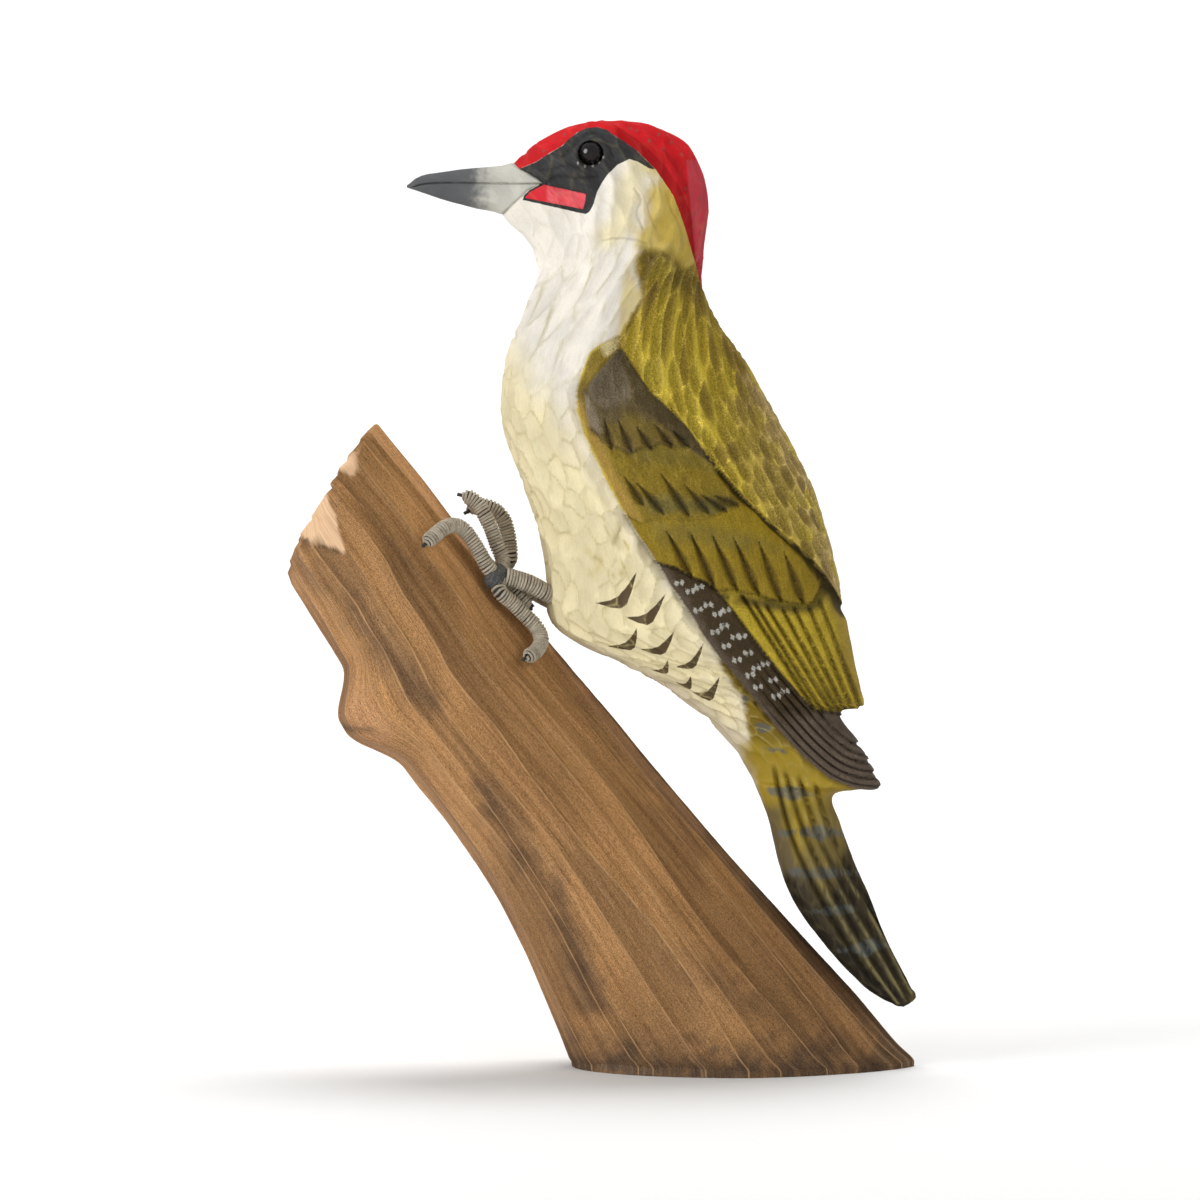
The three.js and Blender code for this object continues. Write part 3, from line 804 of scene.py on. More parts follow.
def grid_mesh(name: str, points: Array, rings: int, sides: int, hubs: Array) -> Mesh:
    """A closed mesh from rings of points, with a fan of triangles over each end.

    Args:
        name: the mesh's name.
        points: the rings' points in millimetres, ring after ring.
        rings: how many rings there are.
        sides: how many points each ring has.
        hubs: the middle of the first and of the last ring.

    Returns:
        The mesh, in metres, with its faces pointing out.
    """
    ring, side = np.meshgrid(np.arange(rings - 1), np.arange(sides), indexing="ij")
    here, there = ring * sides + side, ring * sides + (side + 1) % sides
    quads = np.stack([here, there, there + sides, here + sides], axis=-1).reshape(-1, 4)
    edge = np.arange(sides)
    after = (edge + 1) % sides
    last = (rings - 1) * sides
    start = np.stack([after, edge, np.full(sides, rings * sides)], axis=1)
    end = np.stack([last + edge, last + after, np.full(sides, rings * sides + 1)], axis=1)
    vertices = np.concatenate([points, hubs])
    a, b, c = (vertices[np.concatenate([quads[:, [0, 1, 2]], quads[:, [0, 2, 3]]])[:, i]] for i in range(3))
    if np.einsum("ij,ij->i", a, np.cross(b, c)).sum() < 0:
        quads, start, end = quads[:, ::-1], start[:, ::-1], end[:, ::-1]
    mesh = bpy.data.meshes.new(name)
    mesh.vertices.add(len(vertices))
    mesh.vertices.foreach_set("co", (vertices * MM).astype(np.float32).ravel())
    corners = np.concatenate([quads.ravel(), start.ravel(), end.ravel()])
    mesh.loops.add(len(corners))
    mesh.loops.foreach_set("vertex_index", corners.astype(np.int32))
    counts = np.concatenate([np.full(len(quads), 4), np.full(2 * sides, 3)])
    mesh.polygons.add(len(counts))
    mesh.polygons.foreach_set("loop_start", (np.cumsum(counts) - counts).astype(np.int32))
    mesh.update(calc_edges=True)
    mesh.validate()
    return mesh


def grid_normals(points: Array, rings: int, sides: int) -> Array:
    """Outward directions of a ring grid's points."""
    grid = points.reshape(rings, sides, 3)
    around = np.roll(grid, -1, axis=1) - np.roll(grid, 1, axis=1)
    along = np.gradient(grid, axis=0)
    normals = np.cross(around, along).reshape(-1, 3)
    normals /= np.maximum(np.linalg.norm(normals, axis=1), 1e-9)[:, None]
    middle = np.repeat(grid.mean(axis=1), sides, axis=0)
    facing = np.einsum("ij,ij->i", normals, points - middle).sum()
    return normals if facing > 0 else -normals


def thin_out(mesh: Mesh, target: int, kept: Array) -> Mesh:
    """Merges faces where the surface is flat, except round kept points, down to about a target.

    Args:
        mesh: a mesh of quads.
        target: how many triangles are to be left.
        kept: the numbers of the points that stay.

    Returns:
        The lighter mesh.
    """
    triangles = 2 * len(mesh.polygons)
    holder = bpy.data.objects.new(mesh.name + "_draft", mesh)
    bpy.context.scene.collection.objects.link(holder)
    holder.vertex_groups.new(name="kept").add(kept.tolist(), 1.0, "REPLACE")
    thinner = holder.modifiers.new("thin", "DECIMATE")
    thinner.vertex_group, thinner.invert_vertex_group = "kept", True
    thinner.ratio = target / triangles
    thinner.use_collapse_triangulate = True
    evaluated = holder.evaluated_get(bpy.context.evaluated_depsgraph_get())
    thinned = bpy.data.meshes.new_from_object(evaluated)
    bpy.data.objects.remove(holder)
    bpy.data.meshes.remove(mesh)
    return thinned


# Stations of the bird from the beak's tip to the tail's tip. Each pairs a point on the line of throat,
# breast and belly with one on the line of crown, back and tail, then gives the half-width between the
# flanks and how blunt the section is at its front and at its back.
BIRD_STATIONS = np.array([
    [-111.2, 293.3, -111.2, 294.2, 0.8, 0.5, 0.5],
    [-104, 290.8, -105.3, 297.6, 2.6, 0.5, 0.6],
    [-90, 286.7, -90, 299.8, 4.8, 0.5, 0.65],
    [-80.8, 284.8, -77, 301.4, 6.6, 0.5, 0.6],
    [-77, 281.2, -67.3, 308.7, 11.4, 0.48, 0.48],
    [-74, 278.5, -55, 314.4, 14.2, 0.48, 0.42],
    [-71.7, 275.5, -42, 315.8, 15.6, 0.48, 0.42],
    [-69.6, 272.5, -28, 313.6, 16.1, 0.48, 0.44],
    [-68.3, 269, -17, 306.8, 16.2, 0.48, 0.46],
    [-67.7, 265, -11.7, 294.5, 16.2, 0.48, 0.48],
    [-69, 260, -10.8, 283, 16.8, 0.48, 0.5],
    [-71.7, 254.5, -12, 272, 18.2, 0.47, 0.5],
    [-75.6, 245.3, -13, 261.5, 20.4, 0.46, 0.5],
    [-79, 236, -8, 249.5, 22.6, 0.45, 0.5],
    [-80.4, 225.5, 1, 236.5, 24.2, 0.43, 0.5],
    [-79.3, 213, 11, 219, 25.6, 0.43, 0.5],
    [-73.7, 197, 23, 196, 26.6, 0.42, 0.5],
    [-68.3, 181.5, 28.6, 179.5, 26.6, 0.41, 0.5],
    [-65.3, 167, 32.8, 162.5, 25.6, 0.4, 0.5],
    [-65, 156, 35, 150.5, 24.4, 0.38, 0.5],
    [-63.7, 149, 36.7, 142.5, 24, 0.38, 0.48],
    [-55, 142, 38.3, 134, 22.4, 0.38, 0.45],
    [-41, 135.3, 39.9, 127, 20.8, 0.38, 0.42],
    [-27, 128, 40.8, 120.6, 19, 0.38, 0.4],
    [-21.5, 124, 33.8, 118, 18.2, 0.38, 0.36],
    [-12, 116.7, 38.2, 110.5, 16.6, 0.38, 0.33],
    [-4.3, 108.7, 42.3, 104, 15.2, 0.36, 0.31],
    [0.2, 102.5, 45.2, 98, 13.8, 0.34, 0.3],
    [3.5, 97, 45.6, 93.2, 13, 0.32, 0.3],
    [4.8, 94, 31.2, 91, 12.4, 0.3, 0.7],
    [9, 83.3, 33.3, 81, 12, 0.28, 0.85],
    [12.7, 68, 39, 66, 11.4, 0.28, 0.9],
    [17.3, 56, 45.3, 52.5, 10, 0.28, 0.9],
    [26.7, 42.3, 50.7, 41, 8.4, 0.28, 0.9],
    [40, 27.7, 56.7, 28.7, 6, 0.28, 0.9],
    [50, 21, 58.6, 23.7, 4.2, 0.35, 0.7],
    [54.3, 19.7, 58.2, 22.3, 2.6, 0.45, 0.5],
])


@dataclass(frozen=True)
class Layer:
    """One layer of the folded wing, or the mantle, standing proud of what it covers."""

    brink: Line
    behind: Pairs
    rise: float
    paint: Paint
    edge: float = 0.35
    crease: float = 0.5

    @property
    def line(self) -> Line:
        """The layer's whole outline, with the part that another layer covers."""
        return outline(*self.brink.points, *self.behind)

    def cover(self, at: Array) -> Array:
        """1 on the layer and 0 off it, with a steep edge."""
        return smooth(-self.edge, self.edge, self.line.depth(at, 8.0))

    def crease_beside(self, at: Array) -> Array:
        """The knife's crease just outside the layer, from 0 to 1 at its bed."""
        outside = smooth(0.1, -0.3, self.line.depth(at, 4.0))
        return np.clip(1 - self.brink.measure(at, 4.0)[0] / 1.1, 0, 1) * outside


PRIMARIES = Layer(trace((655, 560), (671, 586), (687, 609), (701, 632), (719, 657), (740, 682), (760, 708),
    (781, 733), (804, 758), (830, 779), (856, 789), (884, 792)), ((884, 760), (880, 700), (860, 620),
    (800, 560), (700, 530)), 2.2, Paint.PRIMARIES)
SECONDARIES = Layer(trace((712, 584), (734, 610), (756, 640), (781, 672), (800, 694), (814, 709), (831, 711),
    (845, 713), (860, 709)), ((868, 700), (872, 640), (860, 600), (820, 560), (720, 560)), 4,
    Paint.SECONDARIES)
GREATER_COVERTS = Layer(trace((625, 514), (642, 541), (656, 562), (676, 567), (691, 576), (705, 581),
    (719, 590), (733, 588), (744, 592), (757, 593), (768, 598), (788, 601), (800, 603), (813, 601),
    (821, 584)), ((860, 570), (760, 470), (660, 490)), 5.2, Paint.GREATER_COVERTS, 0.35, 0.9)
COVERTS = Layer(trace((612, 338), (600, 344), (590, 352), (581, 374), (576, 392), (577, 412), (585, 437),
    (597, 462), (611, 490), (625, 515), (641, 522), (660, 517), (682, 519), (707, 518), (733, 507),
    (750, 502)), ((800, 500), (740, 420), (640, 330)), 5.9, Paint.COVERTS, 0.35, 0.22)
SHOULDER = Layer(trace((617, 350), (600, 370), (584, 391), (586, 412), (590, 430), (603, 441), (611, 447),
    (620, 448), (630, 454), (640, 447), (650, 449), (660, 442), (672, 446), (686, 446)), ((720, 470),
    (720, 400), (650, 340)), 6.7, Paint.SHOULDER, 0.3, 0.4)
MANTLE = Layer(trace((618, 338), (626, 354), (639, 375), (652, 393), (675, 414), (690, 430), (703, 449),
    (717, 468), (733, 485), (750, 504), (768, 522), (789, 540), (807, 555), (825, 575), (846, 608)),
    ((872, 606), (900, 400), (700, 260), (640, 300)), 8.2, Paint.MANTLE, 0.4)
WING_LAYERS = (PRIMARIES, SECONDARIES, GREATER_COVERTS, COVERTS, SHOULDER, MANTLE)
WING_RIM = trace(*COVERTS.brink.points[1:10], (642, 540), (656, 561))
WING_FADE = (11.8, 14.2)
MANTLE_FADE = (11.4, 15.2)
HEAD_END = (8.5, 10.5)
NECK_STATION = 12.5
THROAT_END = (12, 15.5)
TAIL_START = (25, 28)
TAIL_TIP = (33, 35.6)

COVERT_GROOVES = fan(((666, 530), (689, 530), (711, 532), (733, 536), (757, 537), (783, 549)), ((692, 578),
    (715, 588), (738, 592), (760, 597), (782, 603), (804, 604)), (0.2, 2.1), 1.7, True)
SECONDARY_GROOVES = fan(((740, 592), (753, 600), (765, 603), (781, 606), (793, 605), (807, 602), (819, 598)),
    ((814, 708), (823, 711), (832, 711), (839, 712), (846, 712), (853, 711), (860, 706)), (0.8, 1.4), 1.8)
MEDIAN_CUTS = fan(((636, 482), (660, 472), (700, 494), (624, 476), (684, 484), (713, 495)), ((664, 514),
    (690, 517), (728, 512), (644, 506), (710, 514), (740, 506)), (0.2, 2.1), 1.1, True)
LESSER_CUTS = fan(((604, 418), (618, 420), (636, 426), (655, 424), (672, 430)), ((612, 450), (632, 452),
    (652, 450), (673, 448), (690, 448)), (0.2, 2), 1, True)
TAIL_GROOVES = tuple(
    Groove(Line(points), 1.2, 1.5, 1.5)
    for points in (
        ((772, 762), (797, 850), (850, 948), (893, 1004)),
        ((783, 766), (812, 850), (862, 940), (902, 1003)),
        ((797, 772), (825, 850), (873, 932), (909, 998)),
        ((813, 780), (837, 846), (882, 924), (914, 988)),
    )
)
TAIL_RIDGES = tuple(
    Line(tuple(((ax + bx) / 2, (ay + by) / 2) for (ax, ay), (bx, by) in zip(a.line.points, b.line.points)))
    for a, b in zip(TAIL_GROOVES, TAIL_GROOVES[1:])
)
HEAD_CUTS = (
    Groove(Line(((408, 189), (423, 184), (437, 183), (458, 182.5), (483, 183), (540, 183.5))), 0.35, 0.5,
        0.8),
    Groove(Line(((546, 184), (555, 176), (576, 178), (598, 176))), 0.9, 0.9, 0.5),
    Groove(Line(((562, 157), (574, 145), (583, 136), (596, 133), (607, 142), (614, 156))), 0.8, 0.8, 0.45),
    Groove(Line(((540, 170), (556, 168), (570, 165), (580, 168))), 0.7, 0.7, 0.3),
    Groove(Line(((513, 163), (519, 169), (530, 174.5), (542, 183), (527, 191), (513, 204), (502, 215))), 0.7,
        0.7, 0.45),
    Groove(Line(((600, 241), (616, 238), (632, 239), (646, 243))), 0.5, 0.7, 0.35),
    Groove(Line(((634, 188), (641, 200), (637, 213), (643, 229))), 0.6, 0.6, 0.35),
    Groove(Line(((649, 172), (656, 191), (648, 206), (654, 224), (662, 240))), 0.6, 0.6, 0.35),
    Groove(Line(((668, 190), (671, 208), (680, 226), (683, 250))), 0.6, 0.6, 0.3),
    Groove(Line(((540, 184), (586, 194.5), (583, 210), (560, 206), (523, 199))), 0.5, 0.5, 0.25),
    Groove(Line(((664, 150), (684, 180), (691, 222), (696, 268), (701, 288))), 0.9, 0.9, 0.4),
)
FINE_GROOVES = COVERT_GROOVES + SECONDARY_GROOVES + MEDIAN_CUTS + LESSER_CUTS + TAIL_GROOVES + HEAD_CUTS

MASK = outline((519, 169), (536, 162), (550, 153), (562, 146), (570, 138), (578, 132), (587, 128),
    (598, 127), (607, 130), (615, 136), (625, 142), (637, 151), (656, 170), (648, 168), (639, 162),
    (629, 159), (618, 164.5), (607, 175), (600, 186), (597, 192), (594, 203), (590, 211), (586, 214),
    (580, 213), (562, 209), (545, 205), (523, 200), (524, 195), (530, 190), (539, 185), (530, 175))
MALAR = outline((544, 184.5), (564, 189), (586, 194), (585, 202), (583, 209), (562, 205), (525, 198),
    (530, 192))
CROWN = outline((513, 163), (519, 169), (536, 162), (550, 153), (562, 146), (578, 132), (598, 127),
    (615, 136), (637, 151), (656, 170), (673, 195), (680, 213), (686, 231), (691, 249), (696, 265),
    (702, 290), (740, 292), (740, 100), (500, 100), (500, 160))
NAPE_FACET = outline((686, 160), (740, 160), (740, 290), (701, 286), (696, 268), (692, 222))
BEAK = outline((514, 163), (519, 169), (530, 174.5), (537, 179), (542, 183), (534, 187), (527, 191),
    (524, 196), (513, 204), (503, 215), (480, 240), (390, 230), (390, 150), (505, 150))
CROWN_FLECKS = ((662, 149), (681, 154), (685, 188), (699, 198), (694, 213), (636, 130), (671, 142),
    (543, 150), (564, 134), (630, 128), (658, 134), (700, 232), (703, 180), (649, 140))
V_MARKS = (((637, 571), (625, 608), (595, 603)), ((666, 593), (651, 625), (625, 617)), ((637, 628),
    (634, 650), (606, 646)), ((675, 630), (664, 655), (640, 649)), ((704, 642), (695, 668), (675, 667)),
    ((668, 658), (668, 674), (652, 670)), ((691, 675), (691, 690), (675, 682)), ((720, 676), (712, 701),
    (692, 692)))
EYE_SPECKS = ((578, 163), (585, 166), (593, 166), (599, 162), (603, 157))
BRUSH_SPOTS = ((680, 584), (700, 588), (691, 592), (699, 611), (709, 606), (718, 615), (727, 611),
    (716, 633), (725, 627), (736, 638), (743, 637), (727, 647), (738, 661), (749, 654), (757, 669),
    (766, 665), (751, 676), (774, 681), (759, 688), (777, 697), (786, 692))
TAIL_BARS = (((742, 698), (750, 699)), ((754, 725), (770, 728)), ((762, 749), (786, 752)), ((770, 790),
    (812, 796)), ((779, 832), (846, 834)), ((786, 872), (862, 874)), ((806, 912), (880, 908)), ((838, 952),
    (896, 944)))
BACK_OLIVE = area(Paint.NECK_OLIVE, ((642, 246), (664, 250), (690, 270), (712, 286), (800, 400), (700, 440),
    (640, 380), (624, 340), (636, 324), (642, 300), (634, 266)), 1.5, 0.9)
BODY_WASHES = (
    area(Paint.CREAM, ((430, 330), (500, 330), (572, 430), (624, 505), (706, 650), (740, 700), (740, 800),
        (540, 650), (480, 480)), 9, 2, 0.75),
    area(Paint.BELLY_CREAM, ((500, 470), (560, 500), (640, 560), (720, 640), (760, 760), (700, 760),
        (540, 640)), 8, 2, 0.7),
    area(Paint.BELLY_GREY, ((548, 634), (620, 656), (700, 700), (748, 740), (790, 860), (740, 800),
        (600, 690)), 2, 1, 0.8),
    area(Paint.NECK_YELLOW, ((646, 166), (654, 178), (645, 206), (638, 236), (634, 262), (650, 290),
        (720, 300), (720, 160), (668, 160)), 3.2, 2),
    area(Paint.NECK_GOLD, ((668, 186), (680, 200), (694, 250), (700, 300), (680, 280), (660, 246),
        (656, 220)), 2.5, 2, 0.8),
    stripe(Paint.CREAM, ((640, 160), (630, 190), (622, 222), (606, 236)), 4, 3.5, 1, 0.7),
    BACK_OLIVE,
    area(Paint.NECK_DARK, ((638, 248), (668, 252), (684, 274), (712, 296), (712, 306), (684, 296),
        (650, 268)), 2, 1.4, 0.65),
    area(Paint.BORDER_ORANGE, ((627, 262), (640, 292), (641, 304), (635, 325), (624, 338), (617, 336),
        (619, 318), (618, 304), (621, 285)), 1.1, 0.8, 0.8),
    stripe(Paint.NECK_GOLD, ((624, 541), (629, 552), (620, 560), (626, 572), (612, 575)), 0.2, 0.3, 0.5,
        0.6),
    stripe(Paint.NECK_GOLD, ((588, 552), (600, 562), (594, 574)), 0.6, 1.4, 1.2, 0.35),
    area(Paint.RUMP, ((700, 620), (709, 641), (726, 673), (741, 696), (748, 728), (755, 762), (780, 860),
        (900, 860), (860, 760), (800, 700)), 0.9, 0.7),
    area(Paint.TAIL, ((740, 745), (900, 745), (940, 1000), (880, 1020), (780, 880)), 2.5, 1.5),
    stripe(Paint.TAIL_GREY, ((772, 818), (778, 838), (785, 862), (798, 892)), 4.5, 3, 2, 0.75),
    area(Paint.TAIL_GREY, ((760, 830), (800, 850), (830, 800), (870, 790), (940, 1010), (820, 980)), 5,
        2.5, 0.6),
    area(Paint.TAIL_DARK, ((770, 878), (800, 880), (830, 890), (850, 830), (870, 820), (930, 1000),
        (880, 1020), (820, 980)), 4, 2, 0.85),
    # Painted shade along the tail's lower-left bevel.
    stripe(Paint.TAIL_EDGE_SHADE, ((785, 885), (800, 912), (828, 945), (860, 978), (905, 1007)), 3.2, 0.8, 0.5,
        0.9),
)
WING_WASHES = {
    PRIMARIES: (
        stripe(Paint.PRIMARY_TIPS, PRIMARIES.brink.points, 2.2, 1, 0.4, 0.8),
        area(Paint.PRIMARY_TIPS, ((786, 720), (880, 700), (890, 800), (816, 800)), 4, 1, 0.9),
    ),
    SECONDARIES: (
        area(Paint.TERTIALS, ((822, 583), (846, 600), (862, 660), (866, 700), (850, 690), (838, 640)), 1.2,
            0.6, 0.8),
        # Painted shadow along the greater coverts' lower edge.
        stripe(Paint.UNDERCUT_SHADOW, ((724, 596), (744, 600), (769, 604), (794, 608), (814, 606), (824, 590)), 1.6,
            1.3, 0.5, 0.8),
    ),
    GREATER_COVERTS: (
        area(Paint.COVERTS_COOL, ((646, 520), (700, 522), (790, 545), (780, 552), (700, 545), (660, 545)),
            2, 1.2, 0.35),
    ),
    COVERTS: (
        area(Paint.COVERTS_COOL, ((600, 440), (690, 445), (730, 480), (700, 470), (640, 462)), 2, 1,
            0.3),
        area(Paint.COVERTS_COOL, ((640, 496), (730, 498), (735, 512), (650, 514)), 2, 1.2, 0.6),
        stripe(Paint.RIM, WING_RIM.points[4:], 4.4, 1.4, 0.8, 0.85),
        stripe(Paint.RIM_LIGHT, WING_RIM.points, 0.8, 0.35, 0.3, 0.8),
        area(Paint.CREAM, ((600, 348), (610, 338), (619, 337), (617, 349), (606, 357)), 0.5, 0.6, 0.6),
    ),
    SHOULDER: (
        area(Paint.COVERTS, ((632, 412), (660, 425), (690, 445), (680, 452), (600, 452), (606, 425)), 2,
            1.4, 0.5),
        # Painted shade along the shoulder under the mantle's brink.
        area(Paint.SHOULDER_EDGE_SHADE, ((617, 348), (628, 352), (654, 392), (692, 430), (712, 466), (690, 446),
            (660, 424), (636, 402), (627, 374)), 0.7, 0.5, 0.75),
        area(Paint.SHOULDER_FACET, ((588, 380), (602, 362), (617, 352), (626, 374), (632, 398), (606, 410),
            (590, 398)), 0.4, 0.4, 0.75),
        area(Paint.SHOULDER_TIP, ((583, 390), (588, 426), (604, 435), (597, 416), (592, 404)), 0.3, 0.2,
            0.75),
        stripe(Paint.SHOULDER_TIP, ((602, 406), (612, 397), (626, 390)), 0.12, 0.2, 0.1, 0.6),
        stripe(Paint.SHOULDER_TIP, ((596, 377), (599, 390), (600, 410)), 0.12, 0.2, 0.1, 0.5),
    ),
    MANTLE: (
        area(Paint.MANTLE_BACK, ((730, 400), (790, 440), (835, 540), (860, 640), (815, 570), (770, 520),
            (742, 470)), 8, 4, 0.35),
        stripe(Paint.MANTLE_BROWN, ((700, 284), (735, 350), (762, 400)), 4, 3, 2, 0.6),
        stripe(Paint.MANTLE_BACK, ((757, 382), (785, 430), (809, 478), (826, 526), (838, 574), (848, 622)),
            5, 3.4, 2, 0.8),
    ),
}


@dataclass
class WoodpeckerCarving:
    """The bird, carved from one block: its form, its wing layers, its cuts and its paint."""

    rings: int = 900
    sides: int = 480
    samples: int = 4000
    triangles: int = 196000
    seat_radius: float = 4.05
    rim_radius: float = 5.3
    tip_heights: tuple[float, ...] = (94.6, 98.7, 103.2, 108.7, 117.5)
    tip_step: float = 1.1
    rib_pitch: float = 2.5
    rim_lift: float = 1.3
    rim_slope: float = 2.2
    wing_swell: float = 4.5
    furrow_bed: Pairs = ((162, 37.5), (150, 34.5), (138, 32), (119, 35), (104, 38), (91, 41))
    furrow_depth: float = 14.0
    furrow_half_width: float = 5.0
    breast: Gouges = Gouges(10.5, 5.4, 1.35, 11, 0.25)
    throat: Gouges = Gouges(15.0, 9.5, 1.6, 23, 0.1)
    head: Gouges = Gouges(9.0, 7.0, 1.0, 37)
    feathers: Gouges = Gouges(9.0, 2.9, 1.35, 41, 0.3)

    def ring_stations(self) -> Array:
        """Station numbers of the rings, evenly spaced along the body."""
        fine = np.linspace(0, len(BIRD_STATIONS) - 1, self.samples)
        rows = read_stations(BIRD_STATIONS, fine)
        front = np.hypot(*np.diff(rows[:, 0:2], axis=0).T)
        back = np.hypot(*np.diff(rows[:, 2:4], axis=0).T)
        length = np.concatenate([[0], np.cumsum(0.5 * (front + back) + 0.5 * np.maximum(front, back))])
        return np.interp(np.linspace(0, length[-1], self.rings), length, fine)

    def side_turns(self) -> Array:
        """Angles round a ring, a little denser at the front and back."""
        share = np.arange(self.sides) / self.sides * 2
        half = np.where(share <= 1, share, 2 - share)
        low, high = np.zeros_like(half), np.full_like(half, math.pi)
        for _ in range(40):
            middle = (low + high) / 2
            reached = 0.6 * (1 - np.cos(middle)) / 2 + 0.4 * middle / math.pi
            low, high = np.where(reached < half, middle, low), np.where(reached < half, high, middle)
        return np.where(share <= 1, low, 2 * math.pi - low)

    def blank(self) -> Arrays:
        """The smooth body before carving.

        Returns:
            The points, how far each takes part in the flank's width, and each point's station.
        """
        station = np.repeat(self.ring_stations(), self.sides)
        turn = np.tile(self.side_turns(), self.rings)
        rows = read_stations(BIRD_STATIONS, station)
        front_x, front_z, back_x, back_z, half, front_blunt, back_blunt = rows.T
        depth = (1 - np.cos(turn)) / 2
        widest = front_blunt / (front_blunt + back_blunt)
        share = (depth / widest) ** front_blunt * ((1 - depth) / (1 - widest)) ** back_blunt
        share = share * np.sign(np.round(np.sin(turn), 9))
        x, z = front_x + (back_x - front_x) * depth, front_z + (back_z - front_z) * depth
        return np.stack([x, half * share, z], axis=1), share, station

    def flow(self, points: Array, station: Array) -> Array:
        """Millimetres along the body and round it for each point, with its station."""
        grid = points.reshape(self.rings, self.sides, 3)
        steps = np.linalg.norm(np.diff(grid, axis=0), axis=2)
        along = np.concatenate([np.zeros((1, self.sides)), np.cumsum(steps, axis=0)])
        half = self.sides // 2
        around = np.zeros((self.rings, self.sides))
        steps = np.linalg.norm(np.diff(grid[:, : half + 1], axis=1), axis=2)
        around[:, 1 : half + 1] = np.cumsum(steps, axis=1)
        around[:, half + 1 :] = -around[:, 1:half][:, ::-1]
        return np.stack([along.ravel(), around.ravel(), station], axis=1)

    def wing_rise(self, at: Array, station: Array) -> Array:
        """How far the wing and mantle stand out from the flanks."""
        rise = np.zeros(len(at))
        for layer in WING_LAYERS:
            height = np.full(len(at), layer.rise)
            if layer in (COVERTS, SHOULDER):
                bevel = smooth(0.0, 4.6, WING_RIM.measure(at, 8.0)[0])
                height = height * (0.42 + 0.58 * bevel)
            if layer is SECONDARIES:
                height = height + 0.8 * smooth(800, 860, at[:, 0])
            fade = MANTLE_FADE if layer is MANTLE else WING_FADE
            height = height * smooth(*fade, station)
            cover = layer.cover(at)
            rise = rise * (1 - cover) + height * cover
        return rise

    def zones(self, at: Array, station: Array) -> dict[str, Array]:
        """How far each kind of carving reaches over the body."""
        wing = np.zeros(len(at))
        for layer in WING_LAYERS[:-1]:
            wing = np.maximum(wing, layer.cover(at))
        mantle = MANTLE.cover(at)
        head = 1 - smooth(*HEAD_END, station)
        throat = (1 - smooth(*THROAT_END, station)) * (1 - head)
        tail = smooth(*TAIL_START, station)
        return {"wing": wing * (1 - mantle), "mantle": mantle, "head": head, "throat": throat, "tail": tail}

    def carving(self, at: Array, flow: Array) -> dict[str, Array]:
        """The cuts all over the body.

        Args:
            at: where the points appear on the sketch.
            flow: millimetres along and round the body, and the station.

        Returns:
            The height of the surface in millimetres, and ridges, hollows, grooves, tones and how
            speckled the paint is, from 0 to 1.
        """
        along, around, station = flow.T
        zone = self.zones(at, station)
        olive = np.maximum(zone["mantle"], smooth(-1, 3, BACK_OLIVE.line.depth(at)))
        kinds = ("breast", "throat", "head", "feathers")
        parts = {name: getattr(self, name).cut(along, around) for name in kinds}
        coverts = np.maximum(COVERTS.cover(at), SHOULDER.cover(at)) * smooth(12, 13.5, station)
        plain = zone["wing"] * (1 - 0.5 * coverts)
        weight = {
            "head": zone["head"],
            "throat": zone["throat"] * (1 - olive),
            "feathers": np.maximum(olive, 0.5 * coverts) * (1 - zone["head"]) * (1 - plain),
        }
        weight["breast"] = np.clip(1 - sum(weight.values()), 0, 1) * (1 - 0.85 * zone["wing"])
        height, ridge, tone = (sum(weight[name] * parts[name][kind] for name in parts) for kind in range(3))
        ridge = ridge * (1 - 0.7 * zone["head"])
        tone = tone + 0.5 * (1 - sum(weight.values()))
        back = 0.45 + 0.55 * smooth(0.0, 4.0, self.half_round(flow))
        calm = (1 - 0.75 * smooth(0, 0.6, BEAK.depth(at))) * (1 - 0.85 * zone["tail"]) * back
        height, ridge = height * calm, ridge * calm
        # groove marks the cuts, creases and undercut that the finish darkens as painted shade.
        groove = np.zeros(len(at))
        for cut in FINE_GROOVES:
            amount = cut.cut(at) * (1 - 0.85 * smooth(*TAIL_TIP, station))
            height = height - cut.depth * amount
            groove = np.maximum(groove, amount * min(1.0, cut.depth))
        for line in TAIL_RIDGES:
            ridge = np.maximum(ridge, 0.65 * np.clip(1.4 - line.measure(at, 3.0)[0] / 0.5, 0, 1))
        height, groove, ridge = self.cut_primaries(at, height, groove, ridge)
        for layer in WING_LAYERS[:-1]:
            above = np.zeros(len(at))
            for upper in WING_LAYERS[WING_LAYERS.index(layer) + 1 :]:
                above = np.maximum(above, upper.cover(at))
            crease = layer.crease_beside(at) * (1 - above) * smooth(12.5, 14, station)
            height = height - layer.crease * crease
            groove = np.maximum(groove, min(1.0, 1.1 * layer.crease) * crease)
        undercut = self.undercut(at)
        groove = np.maximum(groove, undercut)
        green = np.maximum(olive, zone["wing"])
        # How far the paint darkens in each hollow, as gathered paint and painted shade.
        hollow = np.clip(-height / 0.8, 0, 1) * np.maximum(green, 0.12)
        varying = np.maximum(olive * (1 - zone["head"]), 0.6 * coverts) * (1 - 0.5 * zone["wing"])
        return {"height": height - 1.3 * undercut, "ridge": ridge, "hollow": hollow, "groove": groove,
                "tone": tone, "speckled": np.clip(green + 0.1, 0, 1), "varying": varying}

    def undercut(self, at: Array) -> Array:
        """The wedge cut in under the mantle's brink, from 0 to 1 at its bed."""
        away, share, _ = MANTLE.brink.measure(at, 5.0)
        wedge = smooth(0.44, 0.53, share) * (1 - smooth(0.56, 0.64, share))
        width = 0.8 + 1.5 * wedge + 0.7 * smooth(0.6, 0.7, share) + 2.4 * smooth(0.7, 0.95, share)
        strength = 0.3 + 0.7 * smooth(0.36, 0.46, share)
        return np.clip(1 - away / width, 0, 1) * (1 - MANTLE.cover(at)) * smooth(0.08, 0.2, share) * strength

